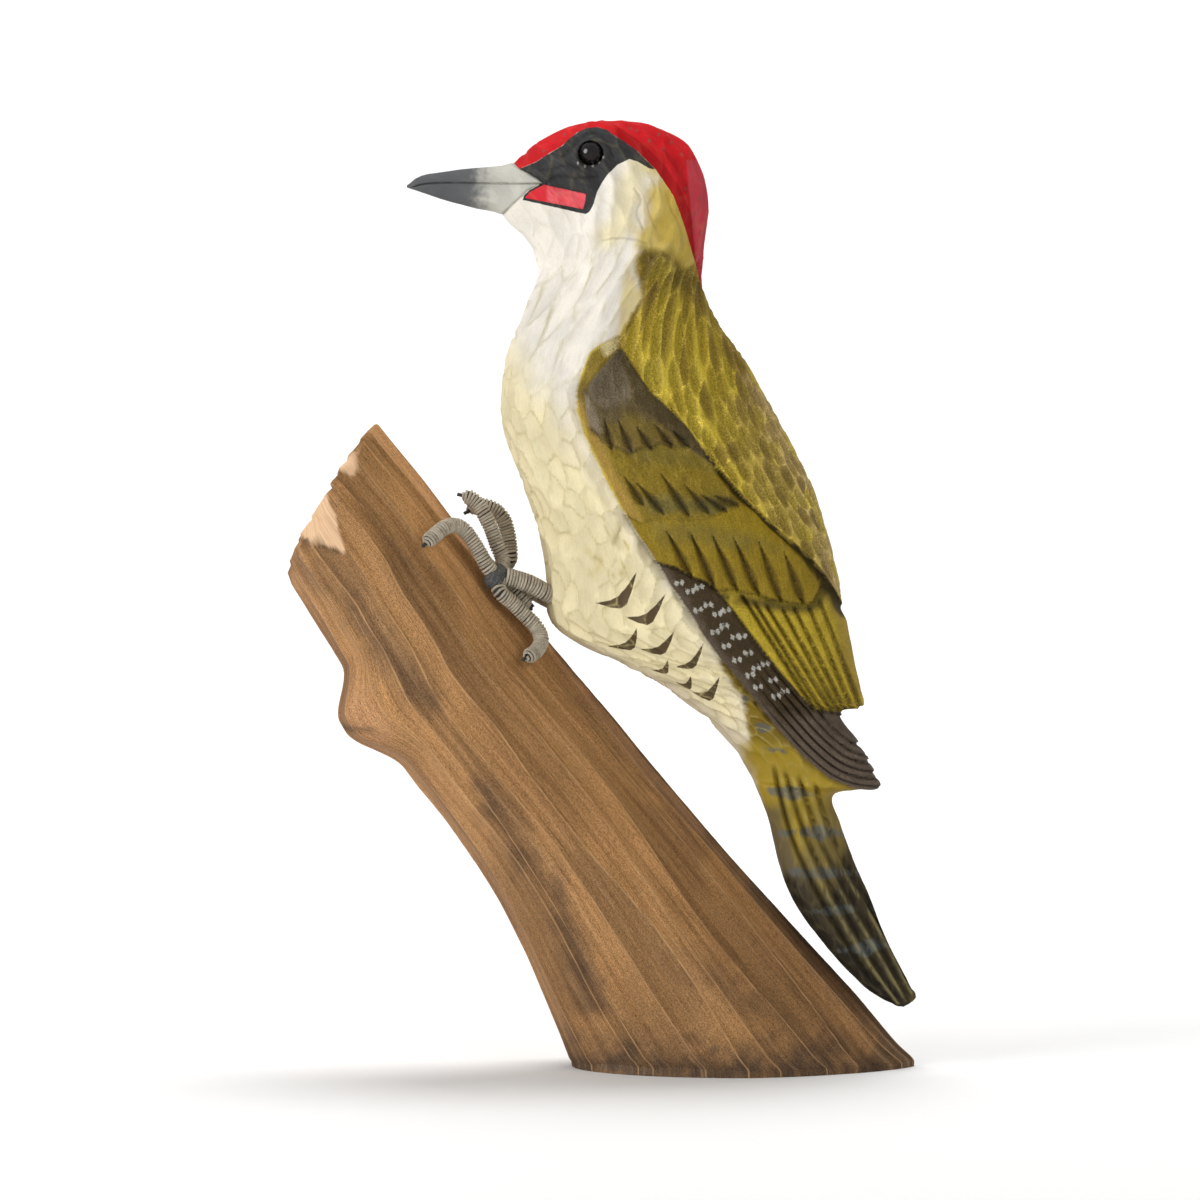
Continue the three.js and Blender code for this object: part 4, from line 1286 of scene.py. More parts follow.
    def half_round(self, flow: Array) -> Array:
        """Millimetres from each point to the line of crown and back, roughly."""
        station = flow[:, 2]
        rows = read_stations(BIRD_STATIONS, station)
        chord = np.hypot(rows[:, 2] - rows[:, 0], rows[:, 3] - rows[:, 1])
        half = 0.5 * math.pi * (0.5 * chord + rows[:, 4]) * 1.02
        return np.clip(half - np.abs(flow[:, 1]), 0, None)

    def cut_primaries(self, at: Array, height: Array, groove: Array, ridge: Array) -> Arrays:
        """Cuts the long curved ribs of the primaries, parallel to their lower edge."""
        away, _, _ = Line(PRIMARIES.brink.points).measure(at, 16.0)
        upper = np.maximum(SECONDARIES.cover(at), np.maximum(GREATER_COVERTS.cover(at), MANTLE.cover(at)))
        on_row = PRIMARIES.cover(at) * (1 - upper)
        long_part = smooth(735, 800, at[:, 0]) * on_row
        half = self.rib_pitch / 2
        offset = np.abs(np.mod(away - 1.6, self.rib_pitch) - half) / half
        cut = smooth(0.55, 1.0, offset) * long_part * smooth(1.0, 1.8, away)
        ridge = np.maximum(ridge * (1 - long_part), (1 - smooth(0.0, 0.3, offset)) * long_part * 0.6)
        return height - 0.9 * cut, np.maximum(groove, cut * 0.9), ridge

    def sink_eyes(self, points: Array) -> Array:
        """Cuts a round seat for each glass eye, with a bevelled rim."""
        x, y, z = EYE_CENTRE
        from_eye = np.hypot(points[:, 0] - x, points[:, 2] - z)
        seat = y - np.sqrt(np.clip(self.seat_radius**2 - from_eye**2, 0, None))
        bevel = y + self.rim_lift + (from_eye - self.seat_radius) * self.rim_slope
        floor = np.where(from_eye < self.seat_radius, seat, bevel)
        lid = 1.8 * np.clip(1 - np.abs(points[:, 0] - x + 0.6) / 9.2 - np.abs(points[:, 2] - z) / 7.2, 0, 1)
        outward = np.abs(points[:, 1]) + lid
        sunk = np.where(from_eye < self.rim_radius + 1, np.minimum(outward, floor), outward)
        near = (outward > 4) & (from_eye < 11)
        result = points.copy()
        result[:, 1] = np.where(near, np.sign(points[:, 1]) * sunk, points[:, 1])
        return result

    def part_wing_tips(self, points: Array) -> Array:
        """Cuts the furrow between the wing tips down the middle of the back."""
        bed = curved(self.furrow_bed, 8)
        bed_x = np.interp(points[:, 2], bed[::-1, 0], bed[::-1, 1])
        inside = smooth(166, 156, points[:, 2]) * smooth(90, 93, points[:, 2])
        floor = bed_x + np.abs(points[:, 1]) * self.furrow_depth / self.furrow_half_width
        result = points.copy()
        over = np.clip(points[:, 0] - floor, 0, None) * inside
        result[:, 0] -= over * (points[:, 0] > 20)
        return result

    def step_wing_tips(self, points: Array) -> Array:
        """Steps the rear edge of the folded wings, a feather's tip at a time."""
        x, z = points[:, 0], points[:, 2]
        tips = np.array(self.tip_heights)
        index = np.clip(np.searchsorted(tips, z, "right") - 1, 0, len(tips) - 2)
        share = np.clip((z - tips[index]) / (tips[index + 1] - tips[index]), 0, 1)
        inside = (z > tips[0]) & (z < tips[-1])
        result = points.copy()
        result[:, 0] -= self.tip_step * share * inside * smooth(26, 38, x)
        return result

    def shape(self) -> Mesh:
        """The carved mesh, with its flow stored."""
        points, share, station = self.blank()
        flow = self.flow(points, station)
        rough = points.copy()
        rough[:, 1] += self.wing_swell * share * smooth(12, 15, station)
        rise = self.wing_rise(SKETCH.seen(rough), station)
        points[:, 1] += rise * share
        points = self.step_wing_tips(self.part_wing_tips(points))
        normals = grid_normals(points, self.rings, self.sides)
        points = points + normals * self.carving(SKETCH.seen(points), flow)["height"][:, None]
        points = self.sink_eyes(points)
        kept = (np.abs(self.painted_edges(SKETCH.seen(points), station)[:, :8]) < 0.4).any(axis=1)
        hubs = np.array([points[: self.sides].mean(0), points[-self.sides :].mean(0)])
        mesh = grid_mesh("bird_carving", points, self.rings, self.sides, hubs)
        ends = np.array([[flow[0, 0], 0, 0], [flow[-1, 0], 0, station[-1]]])
        store(mesh, "flow", np.concatenate([flow, ends]))
        return thin_out(mesh, self.triangles, np.flatnonzero(kept))

    def base_paint(self, at: Array, station: Array) -> Array:
        """The body's and wing's paint, with a painted shadow under the mantle's brink, before the head's
        crisp colours.
        """
        colours = Paint.WHITE.over(len(at))
        for wash in BODY_WASHES:
            colours = wash.lay(colours, at)
        for layer in WING_LAYERS:
            own = layer.paint.over(len(at))
            for wash in WING_WASHES[layer]:
                own = wash.lay(own, at)
            cover = (layer.cover(at) * smooth(11.5, 12.5, station))[:, None]
            colours = colours * (1 - cover) + own * cover
        # Painted shadow: the undercut under the mantle's brink is darkened in the paint as well as cut.
        shadow = smooth(0.0, 0.3, self.undercut(at))[:, None] * 0.85
        return colours * (1 - shadow) + Paint.UNDERCUT_SHADOW.over(1) * shadow

    def distance_to_strokes(self, at: Array, strokes: tuple, start: float, end: float) -> Array:
        """Millimetres inside the nearest of a set of tapered brush strokes."""
        deepest = np.full(len(at), -9.0)
        for stroke in strokes:
            away, share, _ = trace(*stroke).measure(at, 6.0)
            swell = start + (end - start) * np.sin(math.pi * np.clip(share, 0, 1)) ** 1.5
            deepest = np.maximum(deepest, swell - away)
        return deepest

    def dress(self, mesh: Mesh) -> None:
        """Stores the paint, edges and relief that the finish reads."""
        points = positions(mesh)
        flow = read_vectors(mesh, "flow")
        at = SKETCH.seen(points)
        carved = self.carving(at, flow)
        store(mesh, "paint", self.base_paint(at, flow[:, 2]), "FLOAT_COLOR")
        edges = self.painted_edges(at, flow[:, 2])
        for index, name in enumerate(("head_edges", "beak_edges", "body_edges")):
            store(mesh, name, edges[:, 3 * index : 3 * index + 3])
        triples = {"relief": ("ridge", "hollow", "groove"), "tone": ("tone", "speckled", "varying")}
        for name, parts in triples.items():
            store(mesh, name, np.stack([carved[part] for part in parts], axis=1))

    def painted_edges(self, at: Array, station: Array) -> Array:
        """Millimetres inside each crisply painted shape.

        Args:
            at: where the points appear on the sketch.
            station: each point's station.

        Returns:
            A row for each point: mask, moustache, crown, beak, nape facet, crown flecks, marks on the
            belly, spots on the wing and bars on the tail.
        """
        shapes = [line.depth(at, 4.0) for line in (MASK, MALAR, CROWN, BEAK, NAPE_FACET)]
        flecks = tuple(((x, y - 1), (x + 1, y + 2)) for x, y in CROWN_FLECKS)
        shapes.append(self.distance_to_strokes(at, flecks, 0.1, 0.65))
        shapes = [np.where(station < NECK_STATION, shape, -4.0) for shape in shapes]
        dabs = tuple(((x - 5 + 6 * i, y - 4 - i), (x - 2 + 5 * i, y + 3 - i)) for x, y in BRUSH_SPOTS
                     for i in (0, 1))
        dabs += tuple(((x - 1, y), (x + 1, y)) for x, y in EYE_SPECKS)
        spots = self.distance_to_strokes(at, dabs, 0.0, 0.72)
        bars = self.distance_to_strokes(at, TAIL_BARS, 0.5, 1.8)
        return np.stack(shapes + [self.distance_to_ticks(at), spots, bars], axis=1)

    def distance_to_ticks(self, at: Array) -> Array:
        """Millimetres inside the nearest tick-shaped mark, which has a tall arm, a heel and a short arm."""
        deepest = np.full(len(at), -4.0)
        for arm, heel, toe in V_MARKS:
            shares = ((1, 0), (0.5, -0.04), (0.1, -0.02), (-0.03, 0.12), (-0.05, 0.45), (0, 1), (0.13, 0.55),
                      (0.27, 0.33), (0.55, 0.17))
            tick = outline(*(tuple(h + u * (a - h) + v * (t - h) for a, h, t in zip(arm, heel, toe))
                             for u, v in shares))
            deepest = np.maximum(deepest, tick.depth(at, 4.0))
        return deepest

    def build(self, finish: Material) -> None:
        mesh = self.shape()
        self.dress(mesh)
        declare(add_object("bird_carved", mesh, finish), "bird")


LOG_STATIONS = np.array([
    [-164.7, 182.7, -130.3, 227.7, 25],
    [-152.7, 165.3, -116.3, 210, 28],
    [-142.7, 148.7, -102, 192.7, 30],
    [-134.3, 134.7, -89, 176, 31],
    [-125.7, 118, -73.7, 156.3, 32],
    [-111.7, 96.7, -58.3, 137, 32],
    [-98.3, 80, -42.3, 118.3, 32.5],
    [-85, 60.7, -23, 95.3, 33.5],
    [-74.3, 40.7, -1, 69, 35],
    [-67, 24, 20, 45, 36.5],
    [-62, 12, 38.7, 24.3, 37.5],
    [-59.3, 5.3, 52, 9.3, 38],
    [-58.3, 2.7, 58.7, 3, 38],
    [-56.3, 0, 58, 0, 37],
])


@dataclass(frozen=True)
class LogForm:
    """The leaning log's form, which the log and the feet share."""

    edge_sharpness: float = 1.33
    knob_height: float = 9.5
    knob_rise: tuple[float, float] = (3.05, 3.85)
    knob_fall: tuple[float, float] = (4.05, 4.9)
    knob_angle: float = 192.0
    knob_spread: float = 58.0

    def skin(self, station: Array, degrees: Array) -> Array:
        """Points of the bare form.

        Args:
            station: station numbers down the log.
            degrees: angles round it from its upper ridge.

        Returns:
            One x, y, z row for each pair.
        """
        left_x, left_z, right_x, right_z, half = read_stations(LOG_STATIONS, station).T
        angle = np.radians(degrees)
        power = np.where(np.cos(angle) > 0, self.edge_sharpness, 1.0)
        across, sideways = (np.sign(v) * np.abs(v) ** power for v in (np.cos(angle), np.sin(angle)))
        from_knob = np.abs(np.mod(degrees - self.knob_angle + 540, 360) - 180) / self.knob_spread
        knob = self.knob_height * smooth(*self.knob_rise, station) * (1 - smooth(*self.knob_fall, station))
        knob = knob * (1 - smooth(0.25, 1, from_knob))
        run_x, run_z = right_x - left_x, right_z - left_z
        length = np.hypot(run_x, run_z)
        reach = across * length / 2 - knob
        return np.stack([(left_x + right_x) / 2 + run_x / length * reach, sideways * half,
                         (left_z + right_z) / 2 + run_z / length * reach], axis=1)

    def point(self, station: float, degrees: float, height: float) -> Array:
        """A point over the log's surface."""
        stations = np.array([station, station + 0.01, station - 0.01, station, station])
        angles = np.array([degrees, degrees, degrees, degrees + 0.5, degrees - 0.5])
        here, down, up, onward, back = self.skin(stations, angles)
        outward = np.cross(down - up, onward - back)
        return here + outward / np.linalg.norm(outward) * height


END_CUTS = (
    ((-137.5, 0, 190.5), (-0.845, 0.1, 0.52)),
    ((-129.5, -14, 206.5), (-0.72, -0.12, 0.68)),
    ((-141.3, -24, 180.5), (-0.78, -0.5, 0.36)),
    ((-150.5, 0, 166.5), (-0.95, 0.05, 0.3)),
    ((-131, 22, 196), (-0.7, 0.62, 0.34)),
)
LOG_WASHES = (
    stripe(Paint.LOG_ORANGE, ((284, 560), (310, 625), (335, 670), (380, 745), (440, 825), (490, 900),
        (530, 990), (560, 1060)), 5, 3, 1.5, 0.7),
    stripe(Paint.LOG_DARK, ((348, 600), (376, 640), (426, 700)), 4, 6, 2, 0.75),
    stripe(Paint.LOG_DARK, ((486, 790), (520, 850), (560, 900), (590, 1000)), 4, 6, 3, 0.75),
    stripe(Paint.LOG_DARK, ((590, 700), (640, 760), (700, 850)), 3, 4, 2, 0.6),
    stripe(Paint.LOG_DARK, ((640, 730), (730, 850), (800, 940), (880, 1030)), 3.5, 3, 1.5, 0.65),
    stripe(Paint.LOG_DARK, ((330, 590), (300, 560)), 3, 4, 2, 0.5),
    stripe(Paint.LOG_ORANGE, ((367, 430), (399, 451), (425, 485), (470, 545), (560, 660), (700, 830)), 2.2,
        1.2, 0.8, 0.6),
    stripe(Paint.LOG_ORANGE, ((338, 700), (352, 718), (380, 730)), 4, 2, 1, 0.7),
    stripe(Paint.LOG_DARK, ((338, 726), (356, 730), (372, 730)), 1, 1, 0.6, 0.7),
    stripe(Paint.LOG_DARK, ((560, 648), (640, 742), (740, 858), (830, 962), (905, 1050)), 2.4, 1.3, 0.8,
        0.8),
    stripe(Paint.LOG_BASE, ((555, 1062), (650, 1068), (800, 1072), (915, 1066)), 7, 9, 5, 0.9),
    stripe(Paint.LOG_DARK, ((690, 960), (760, 1010), (830, 1050)), 3, 8, 4, 0.6),
    stripe(Paint.LOG_DARK, ((297, 537), (318, 543), (340, 552)), 0.8, 0.8, 0.5, 0.8),
)
PALE_CUTS = (outline((316, 496), (325, 486), (331, 506), (337, 526), (345, 552), (297, 534)),
    outline((345, 455), (356, 451), (357, 474), (351, 477), (336, 465)))


@dataclass
class LeaningLog:
    """The log: long knife facets, a worked end, a knob and a flat underside."""

    form: LogForm = LogForm()
    rings: int = 206
    sides: int = 420
    cap_rings: int = 24
    facet_count: int = 21
    facet_width: float = 9.5
    facet_depth: float = 0.7
    facet_step: float = 1.9
    facet_seed: int = 61
    start_pace: float = 21.0
    nicks: Gouges = Gouges(34.0, 7.0, 0.22, 73, 0.1)
    end_nicks: Gouges = Gouges(11.0, 6.0, 0.35, 83, 0.2)
    splinter_pitch: float = 7.0
    splinter_depth: float = 1.7

    @property
    def end_planes(self) -> list[tuple[Array, Array]]:
        """A point on each knife plane of the end, and its outward direction."""
        return [(np.array(place), np.array(normal) / np.linalg.norm(normal)) for place, normal in END_CUTS]

    def outside_cuts(self, points: Array) -> Array:
        """How far points stand outside the end's knife planes, in millimetres."""
        worst = np.full(len(points), -1e9)
        for place, unit in self.end_planes:
            worst = np.maximum(worst, (points - place) @ unit)
        return worst + self.splinter(points)

    def end_stations(self, degrees: Array) -> Array:
        """The station at which each line down the log leaves the cut end."""
        low, high = np.zeros(len(degrees)), np.full(len(degrees), 4.0)
        for _ in range(30):
            middle = (low + high) / 2
            out = self.outside_cuts(self.form.skin(middle, degrees)) > 0
            low, high = np.where(out, middle, low), np.where(out, high, middle)
        return high + 0.13 * np.abs(cloud(degrees / 6, degrees * 0, 87, 2))

    def splinter(self, points: Array) -> Array:
        """How deep the stepped breaks lie that run across the cut end, in millimetres."""
        axis = self.axis
        across = points[:, 0] * axis[2] - points[:, 2] * axis[0]
        unsteady = cloud(across / 13, points[:, 1] / 26, 91, 2)
        tooth = np.mod(across / self.splinter_pitch + 0.9 * unsteady, 1.0)
        return self.splinter_depth * tooth * (0.6 + 0.6 * cloud(across / 17, points[:, 1] / 40, 93, 2))

    def slide_to_cuts(self, points: Array) -> Array:
        """Slides points along the log until they lie on the end's knife planes."""
        axis = self.axis
        travel = np.full(len(points), 1e9)
        for place, unit in self.end_planes:
            travel = np.minimum(travel, ((place - points) @ unit) / (axis @ unit))
        return points + (travel - self.splinter(points))[:, None] * axis

    def shape(self) -> Mesh:
        """The carved mesh, with its grain and cuts stored."""
        degrees = np.arange(self.sides) * 360.0 / self.sides
        start = self.end_stations(degrees)
        last = len(LOG_STATIONS) - 1
        share = np.linspace(0, 1, self.rings)
        station = (start + (last - start) * share[:, None]).ravel()
        turn = np.tile(degrees, self.rings)
        points = self.form.skin(station, turn)
        grid = replace(self.form, knob_height=0.0).skin(station, turn).reshape(self.rings, self.sides, 3)
        run = np.linalg.norm(np.diff(grid, axis=0), axis=2)
        along = np.concatenate([np.zeros((1, self.sides)), np.cumsum(run, axis=0)]) + self.start_pace * start
        along = along.ravel()
        step = np.linalg.norm(np.roll(grid, -1, axis=1) - grid, axis=2)
        around = np.concatenate([np.zeros((self.rings, 1)), np.cumsum(step, axis=1)[:, :-1]], axis=1)
        facet = (around / step.sum(axis=1, keepdims=True) * self.facet_count).ravel()
        around = self.facet_width * facet
        height, ridge, tone = self.cut_facets(along, facet)
        height = (height + self.nicks.cut(along, around)[0] * 0.6) * smooth(0.0, 2.0, points[:, 2])
        points = points + grid_normals(points, self.rings, self.sides) * height[:, None]
        points[:, 2] = np.where(station > last - 1e-6, 0.0, np.maximum(points[:, 2], 0))
        cap, cap_ridge, cap_tone = self.end_cap(points[: self.sides])
        rings = self.rings + self.cap_rings
        hub = self.slide_to_cuts(cap[: self.sides].mean(0)[None])[0]
        base = points[-self.sides :].mean(0)
        points = np.concatenate([cap, points])
        mesh = grid_mesh("log_carving", points, rings, self.sides, np.array([hub, base]))
        along = np.concatenate([np.tile(along[: self.sides], self.cap_rings), along])
        around = np.concatenate([np.tile(around[: self.sides], self.cap_rings), around])
        ridge, tone = np.concatenate([cap_ridge, ridge]), np.concatenate([cap_tone, tone])
        flat = np.zeros(rings * self.sides)
        self.dress(mesh, points, np.stack([along, around, flat], 1), np.stack([ridge, tone, flat], 1))
        return mesh

    @property
    def axis(self) -> Array:
        """The direction up the log at its cut end."""
        rows = read_stations(LOG_STATIONS, np.array([1.0, 2.5]))
        middle = (rows[:, 0:2] + rows[:, 2:4]) / 2
        run = middle[0] - middle[1]
        return np.array([run[0], 0, run[1]]) / np.hypot(*run)

    def border(self, along: Array, number: Array) -> tuple[Array, Array]:
        """Where a facet's border runs, and how deep it is cut, from -1 to 0."""
        own = np.mod(number, self.facet_count)
        wander = 0.48 * cloud(along / 105 + 17 * own, own * 0, self.facet_seed, 2)
        return number + wander, -0.5 + 0.5 * cloud(along / 75 + 29 * own, own * 0, self.facet_seed + 5, 2)

    def cut_facets(self, along: Array, place: Array) -> Arrays:
        """Long hollow facets whose borders wander down the log.

        Args:
            along: millimetres down the log.
            place: how many facets round the log each point lies.

        Returns:
            The height, the ridges from 0 to 1, and a slowly changing tone for each facet.
        """
        seed = self.facet_seed
        nearest = np.floor(place)
        height, ridge, tone = (np.zeros(place.shape) for _ in range(3))
        for side in (-1, 0, 1):
            low, low_step = self.border(along, nearest + side)
            high, high_step = self.border(along, nearest + side + 1)
            inside = (place >= low) & (place < high)
            share = (place - low) / np.maximum(high - low, 0.05)
            width = self.facet_width * (high - low)
            step = low_step + (high_step - low_step) * share
            hollow = self.facet_depth * np.minimum(width / 8, 1.6) * 4 * share * (1 - share)
            height = np.where(inside, self.facet_step * step - hollow, height)
            ridge = np.where(inside, 1 - smooth(0.0, 0.75, np.minimum(share, 1 - share) * width), ridge)
            own = np.mod(nearest + side, self.facet_count)
            own = 0.5 + 0.6 * cloud(along / 60 + 41 * own, place * 0, seed + 9, 2)
            tone = np.where(inside, np.clip(own, 0, 1), tone)
        return np.minimum(height, 0), ridge, tone

    def end_cap(self, rim: Array) -> Arrays:
        """Rings that close the cut end, from its middle out to the rim, with their ridges and tones."""
        centre = rim.mean(0)
        shares = (np.arange(self.cap_rings) + 0.6) / (self.cap_rings + 0.6)
        flat = (centre + (rim[None] - centre) * shares[:, None, None]).reshape(-1, 3)
        cap = self.slide_to_cuts(flat)
        height, ridge, tone = self.end_nicks.cut(cap[:, 1] + 0.2 * cap[:, 2], cap[:, 2] * 1.2)
        calm = np.repeat(1 - smooth(0.85, 1.0, shares), self.sides)
        return cap + self.axis * (height * calm)[:, None], ridge * calm, tone

    def dress(self, mesh: Mesh, points: Array, grain: Array, cuts: Array) -> None:
        """Stores the stain, grain and cuts that the finish reads."""
        at = SKETCH.seen(points)
        colours = Paint.LOG.over(len(at))
        for wash in LOG_WASHES:
            colours = wash.lay(colours, at)
        bare = np.zeros(len(at))
        for pale in PALE_CUTS:
            ragged = 0.9 * cloud(at[:, 0] / 6, at[:, 1] / 9, 43)
            bare = np.maximum(bare, smooth(-0.7, 0.7, pale.depth(at, 4.0) + ragged))
        cuts[:, 2] = bare * smooth(6, 2, points[:, 1])
        for name, values in (("paint", colours), ("grain", grain), ("cuts", cuts)):
            kind = "FLOAT_COLOR" if name == "paint" else "FLOAT_VECTOR"
            store(mesh, name, np.concatenate([values, values[:1], values[-1:]]), kind)

    def build(self, finish: Material) -> None:
        declare(add_object("log_carved", self.shape(), finish), "log")


@dataclass(frozen=True)
class Foot:
    """One foot as it lies on the log. A knot is a station, an angle and a height over the wood."""

    name: str
    side: int
    joint: Triple
    leg_from: Triple
    leg_to: Triple
    toes: dict[str, tuple[Triple, ...]]


LEFT_FOOT = Foot(
    "left", -1, (3.56, 26, 3.6), (-76.6, 13.2, 165.4), (-65.3, 8.6, 159.2),
    {
        "outer_front": ((3.36, 28, 4.2), (3.18, 28, 5), (2.92, 27.5, 5.5), (2.72, 28, 5.5), (2.58, 31, 5),
            (2.49, 38, 4.4), (2.47, 45, 3.6), (2.46, 52, 3.1)),
        "inner_front": ((3.46, 12, 4.8), (3.24, 10, 6.2), (3.02, 8, 7.7), (2.78, 7, 8.7), (2.58, 6, 8.9),
            (2.42, 6, 8), (2.33, 6, 6.5)),
        "outer_back": ((3.74, 30.5, 3.3), (3.94, 28, 3.2), (4.2, 26, 3.4), (4.44, 25, 3.6), (4.6, 29, 3.6),
            (4.66, 37, 3.2), (4.64, 44, 3.1)),
        "inner_back": ((3.76, 17.5, 3.2), (3.9, 17, 3.2), (4.14, 16, 3.1)),
    },
)
RIGHT_FOOT = Foot(
    "right", 1, (3.6, 26, 3.6), (-76.4, 15.2, 162.4), (-65.3, 9, 156.4),
    {
        "outer_front": ((3.4, 30, 4), (3.1, 33, 4.6), (2.85, 36, 4.6), (2.66, 42, 4.2), (2.56, 50, 3.4),
            (2.54, 57, 3.1)),
        "inner_front": ((3.5, 12.5, 7), (3.36, 11, 9.4), (3.19, 10.5, 11.7), (3.01, 10, 13),
            (2.84, 10, 12.6), (2.7, 11, 11), (2.62, 12, 8.5), (2.6, 12, 5.4)),
        "outer_back": ((3.78, 33, 3.3), (4, 37, 3.3), (4.24, 40, 3.4), (4.42, 43, 3.4), (4.52, 49, 3.2),
            (4.53, 56, 3.1)),
        "inner_back": ((3.84, 14.5, 3.1), (3.95, 14, 3.1), (4.14, 14, 3.1)),
    },
)


WINDING_SIZES = {"Pitch": 1.02, "Coil Radius": 2.2, "Thread Radius": 0.48, "Core Radius": 2.0, "Steps": 20.0,
                 "Seed": 0, "Wire Radius": 0.6, "Bare End": 0}


class Winding:
    """Thread wound closely on a wire along a path, as a Geometry Nodes tree with named sizes."""

    def __init__(self, finish: Material) -> None:
        """Builds the tree once for all toes and legs."""
        self.finish = finish
        self.tree = bpy.data.node_groups.new("thread_winding", "GeometryNodeTree")
        self.graph = Graph(self.tree)
        self.add_socket("Geometry", "INPUT", "NodeSocketGeometry")
        self.sizes = {}
        for name, value in WINDING_SIZES.items():
            socket = self.add_socket(name, "INPUT", "NodeSocketFloat")
            socket.default_value = value
            self.sizes[name] = socket.identifier
        self.add_socket("Geometry", "OUTPUT", "NodeSocketGeometry")
        self.lay_out()

    def add_socket(self, name: str, way: str, kind: str) -> bpy.types.NodeTreeInterfaceSocket:
        """Adds a socket to the tree."""
        return self.tree.interface.new_socket(name, in_out=way, socket_type=kind)

    def lay_out(self) -> None:
        """Lays out the nodes: a helix of thread round the path, its padding, and the wire that ends bare."""
        graph = self.graph
        given = graph.node("NodeGroupInput").outputs
        whole = graph.node("GeometryNodeCurveLength", {0: given["Geometry"]}).outputs[0]
        length = graph.math("SUBTRACT", whole, given["Bare End"])
        turns = graph.math("DIVIDE", length, given["Pitch"])
        wound = self.shorten(given["Geometry"], graph.math("DIVIDE", length, whole))
        fine = self.resample(wound, graph.times(turns, given["Steps"]))
        run = graph.node("GeometryNodeSplineParameter").outputs["Length"]
        wander, bulge = (
            graph.node("ShaderNodeTexNoise", {"W": graph.plus(run, given["Seed"]), "Scale": scale},
                       noise_dimensions="1D").outputs[0]
            for scale in (0.45, 1.3)
        )
        slack = graph.times(graph.centred(wander), 0.5)
        turned = graph.plus(graph.math("DIVIDE", run, given["Pitch"]), slack)
        angle = graph.times(turned, 2 * math.pi)
        swell = graph.plus(graph.times(bulge, 0.09), 0.94)
        tip = graph.rise(graph.math("SUBTRACT", length, run), 0, 2, 0.4, 1)
        radius = graph.times(given["Coil Radius"], graph.times(swell, tip))
        normal = graph.node("GeometryNodeInputNormal").outputs[0]
        tangent = graph.node("GeometryNodeInputTangent").outputs[0]
        side = self.vectors("CROSS_PRODUCT", {0: tangent, 1: normal})
        ahead = self.vectors("SCALE", {0: normal, "Scale": graph.math("COSINE", angle)})
        aside = self.vectors("SCALE", {0: side, "Scale": graph.math("SINE", angle)})
        offset = self.vectors("SCALE", {0: self.vectors("ADD", {0: ahead, 1: aside}), "Scale": radius})
        marked = self.mark(fine, "turn", turned)
        coiled = graph.node("GeometryNodeSetPosition", {"Geometry": marked, "Offset": offset}).outputs[0]
        padded = graph.math("DIVIDE", graph.math("SUBTRACT", length, 1.5), whole)
        core = self.resample(self.shorten(given["Geometry"], padded), turns)
        parts = graph.node("GeometryNodeJoinGeometry")
        for path, radius, sides, share in (
            (coiled, "Thread Radius", 6, 1.0), (core, "Core Radius", 14, 0.0),
            (given["Geometry"], "Wire Radius", 7, 0.0),
        ):
            tube = self.mark(self.tube(path, given[radius], sides), "wound", share)
            self.tree.links.new(tube, parts.inputs[0])
        real = graph.node("GeometryNodeRealizeInstances", {0: parts.outputs[0]}).outputs[0]
        dressed = graph.node("GeometryNodeSetMaterial", {"Geometry": real, "Material": self.finish})
        graph.node("NodeGroupOutput", {0: dressed.outputs[0]})

    def vectors(self, operation: str, inputs: dict) -> Socket:
        """One step of vector arithmetic."""
        return self.graph.node("ShaderNodeVectorMath", inputs, operation=operation).outputs[0]

    def resample(self, path: object, count: object) -> Socket:
        """A path with evenly spaced points."""
        return self.graph.node("GeometryNodeResampleCurve", {"Curve": path, "Count": count}).outputs[0]

    def mark(self, geometry: object, name: str, value: object) -> Socket:
        """Stores a named value on a part of the winding."""
        inputs = {"Geometry": geometry, "Name": name, "Value": value}
        return self.graph.node("GeometryNodeStoreNamedAttribute", inputs, data_type="FLOAT",
                               domain="POINT").outputs[0]

    def shorten(self, path: object, share: object) -> Socket:
        """The first part of a path, by its share of the length."""
        return self.graph.node("GeometryNodeTrimCurve", {0: path, 3: share}).outputs[0]

    def tube(self, path: object, radius: object, sides: int) -> Socket:
        """A closed tube along a path."""
        inputs = {"Resolution": sides, "Radius": radius}
        ring = self.graph.node("GeometryNodeCurvePrimitiveCircle", inputs).outputs[0]
        inputs = {"Curve": path, "Profile Curve": ring, "Fill Caps": True}
        return self.graph.node("GeometryNodeCurveToMesh", inputs).outputs[0]

    def wind(self, name: str, path: Array, **sizes: float) -> Mesh:
        """Winds thread along a path.

        Args:
            name: the mesh's name.
            path: points in millimetres.
            sizes: tree inputs that differ from their defaults, with _ for each space.

        Returns:
            A plain mesh in metres.
        """
        curve = bpy.data.curves.new(name + "_path", "CURVE")
        curve.dimensions = "3D"
        spline = curve.splines.new("POLY")
        spline.points.add(len(path) - 1)
        spline.points.foreach_set("co", np.concatenate([path, np.ones((len(path), 1))], axis=1).ravel())
        holder = bpy.data.objects.new(name + "_path", curve)
        bpy.context.scene.collection.objects.link(holder)
        modifier = holder.modifiers.new("winding", "NODES")
        modifier.node_group = self.tree
        for key, value in sizes.items():
            modifier[self.sizes[key.replace("_", " ").title()]] = value
        evaluated = holder.evaluated_get(bpy.context.evaluated_depsgraph_get())
        mesh = bpy.data.meshes.new_from_object(evaluated)
        holder.modifiers.remove(modifier)
        bpy.data.objects.remove(holder)
        mesh.transform(Matrix.Scale(MM, 4))
        return mesh


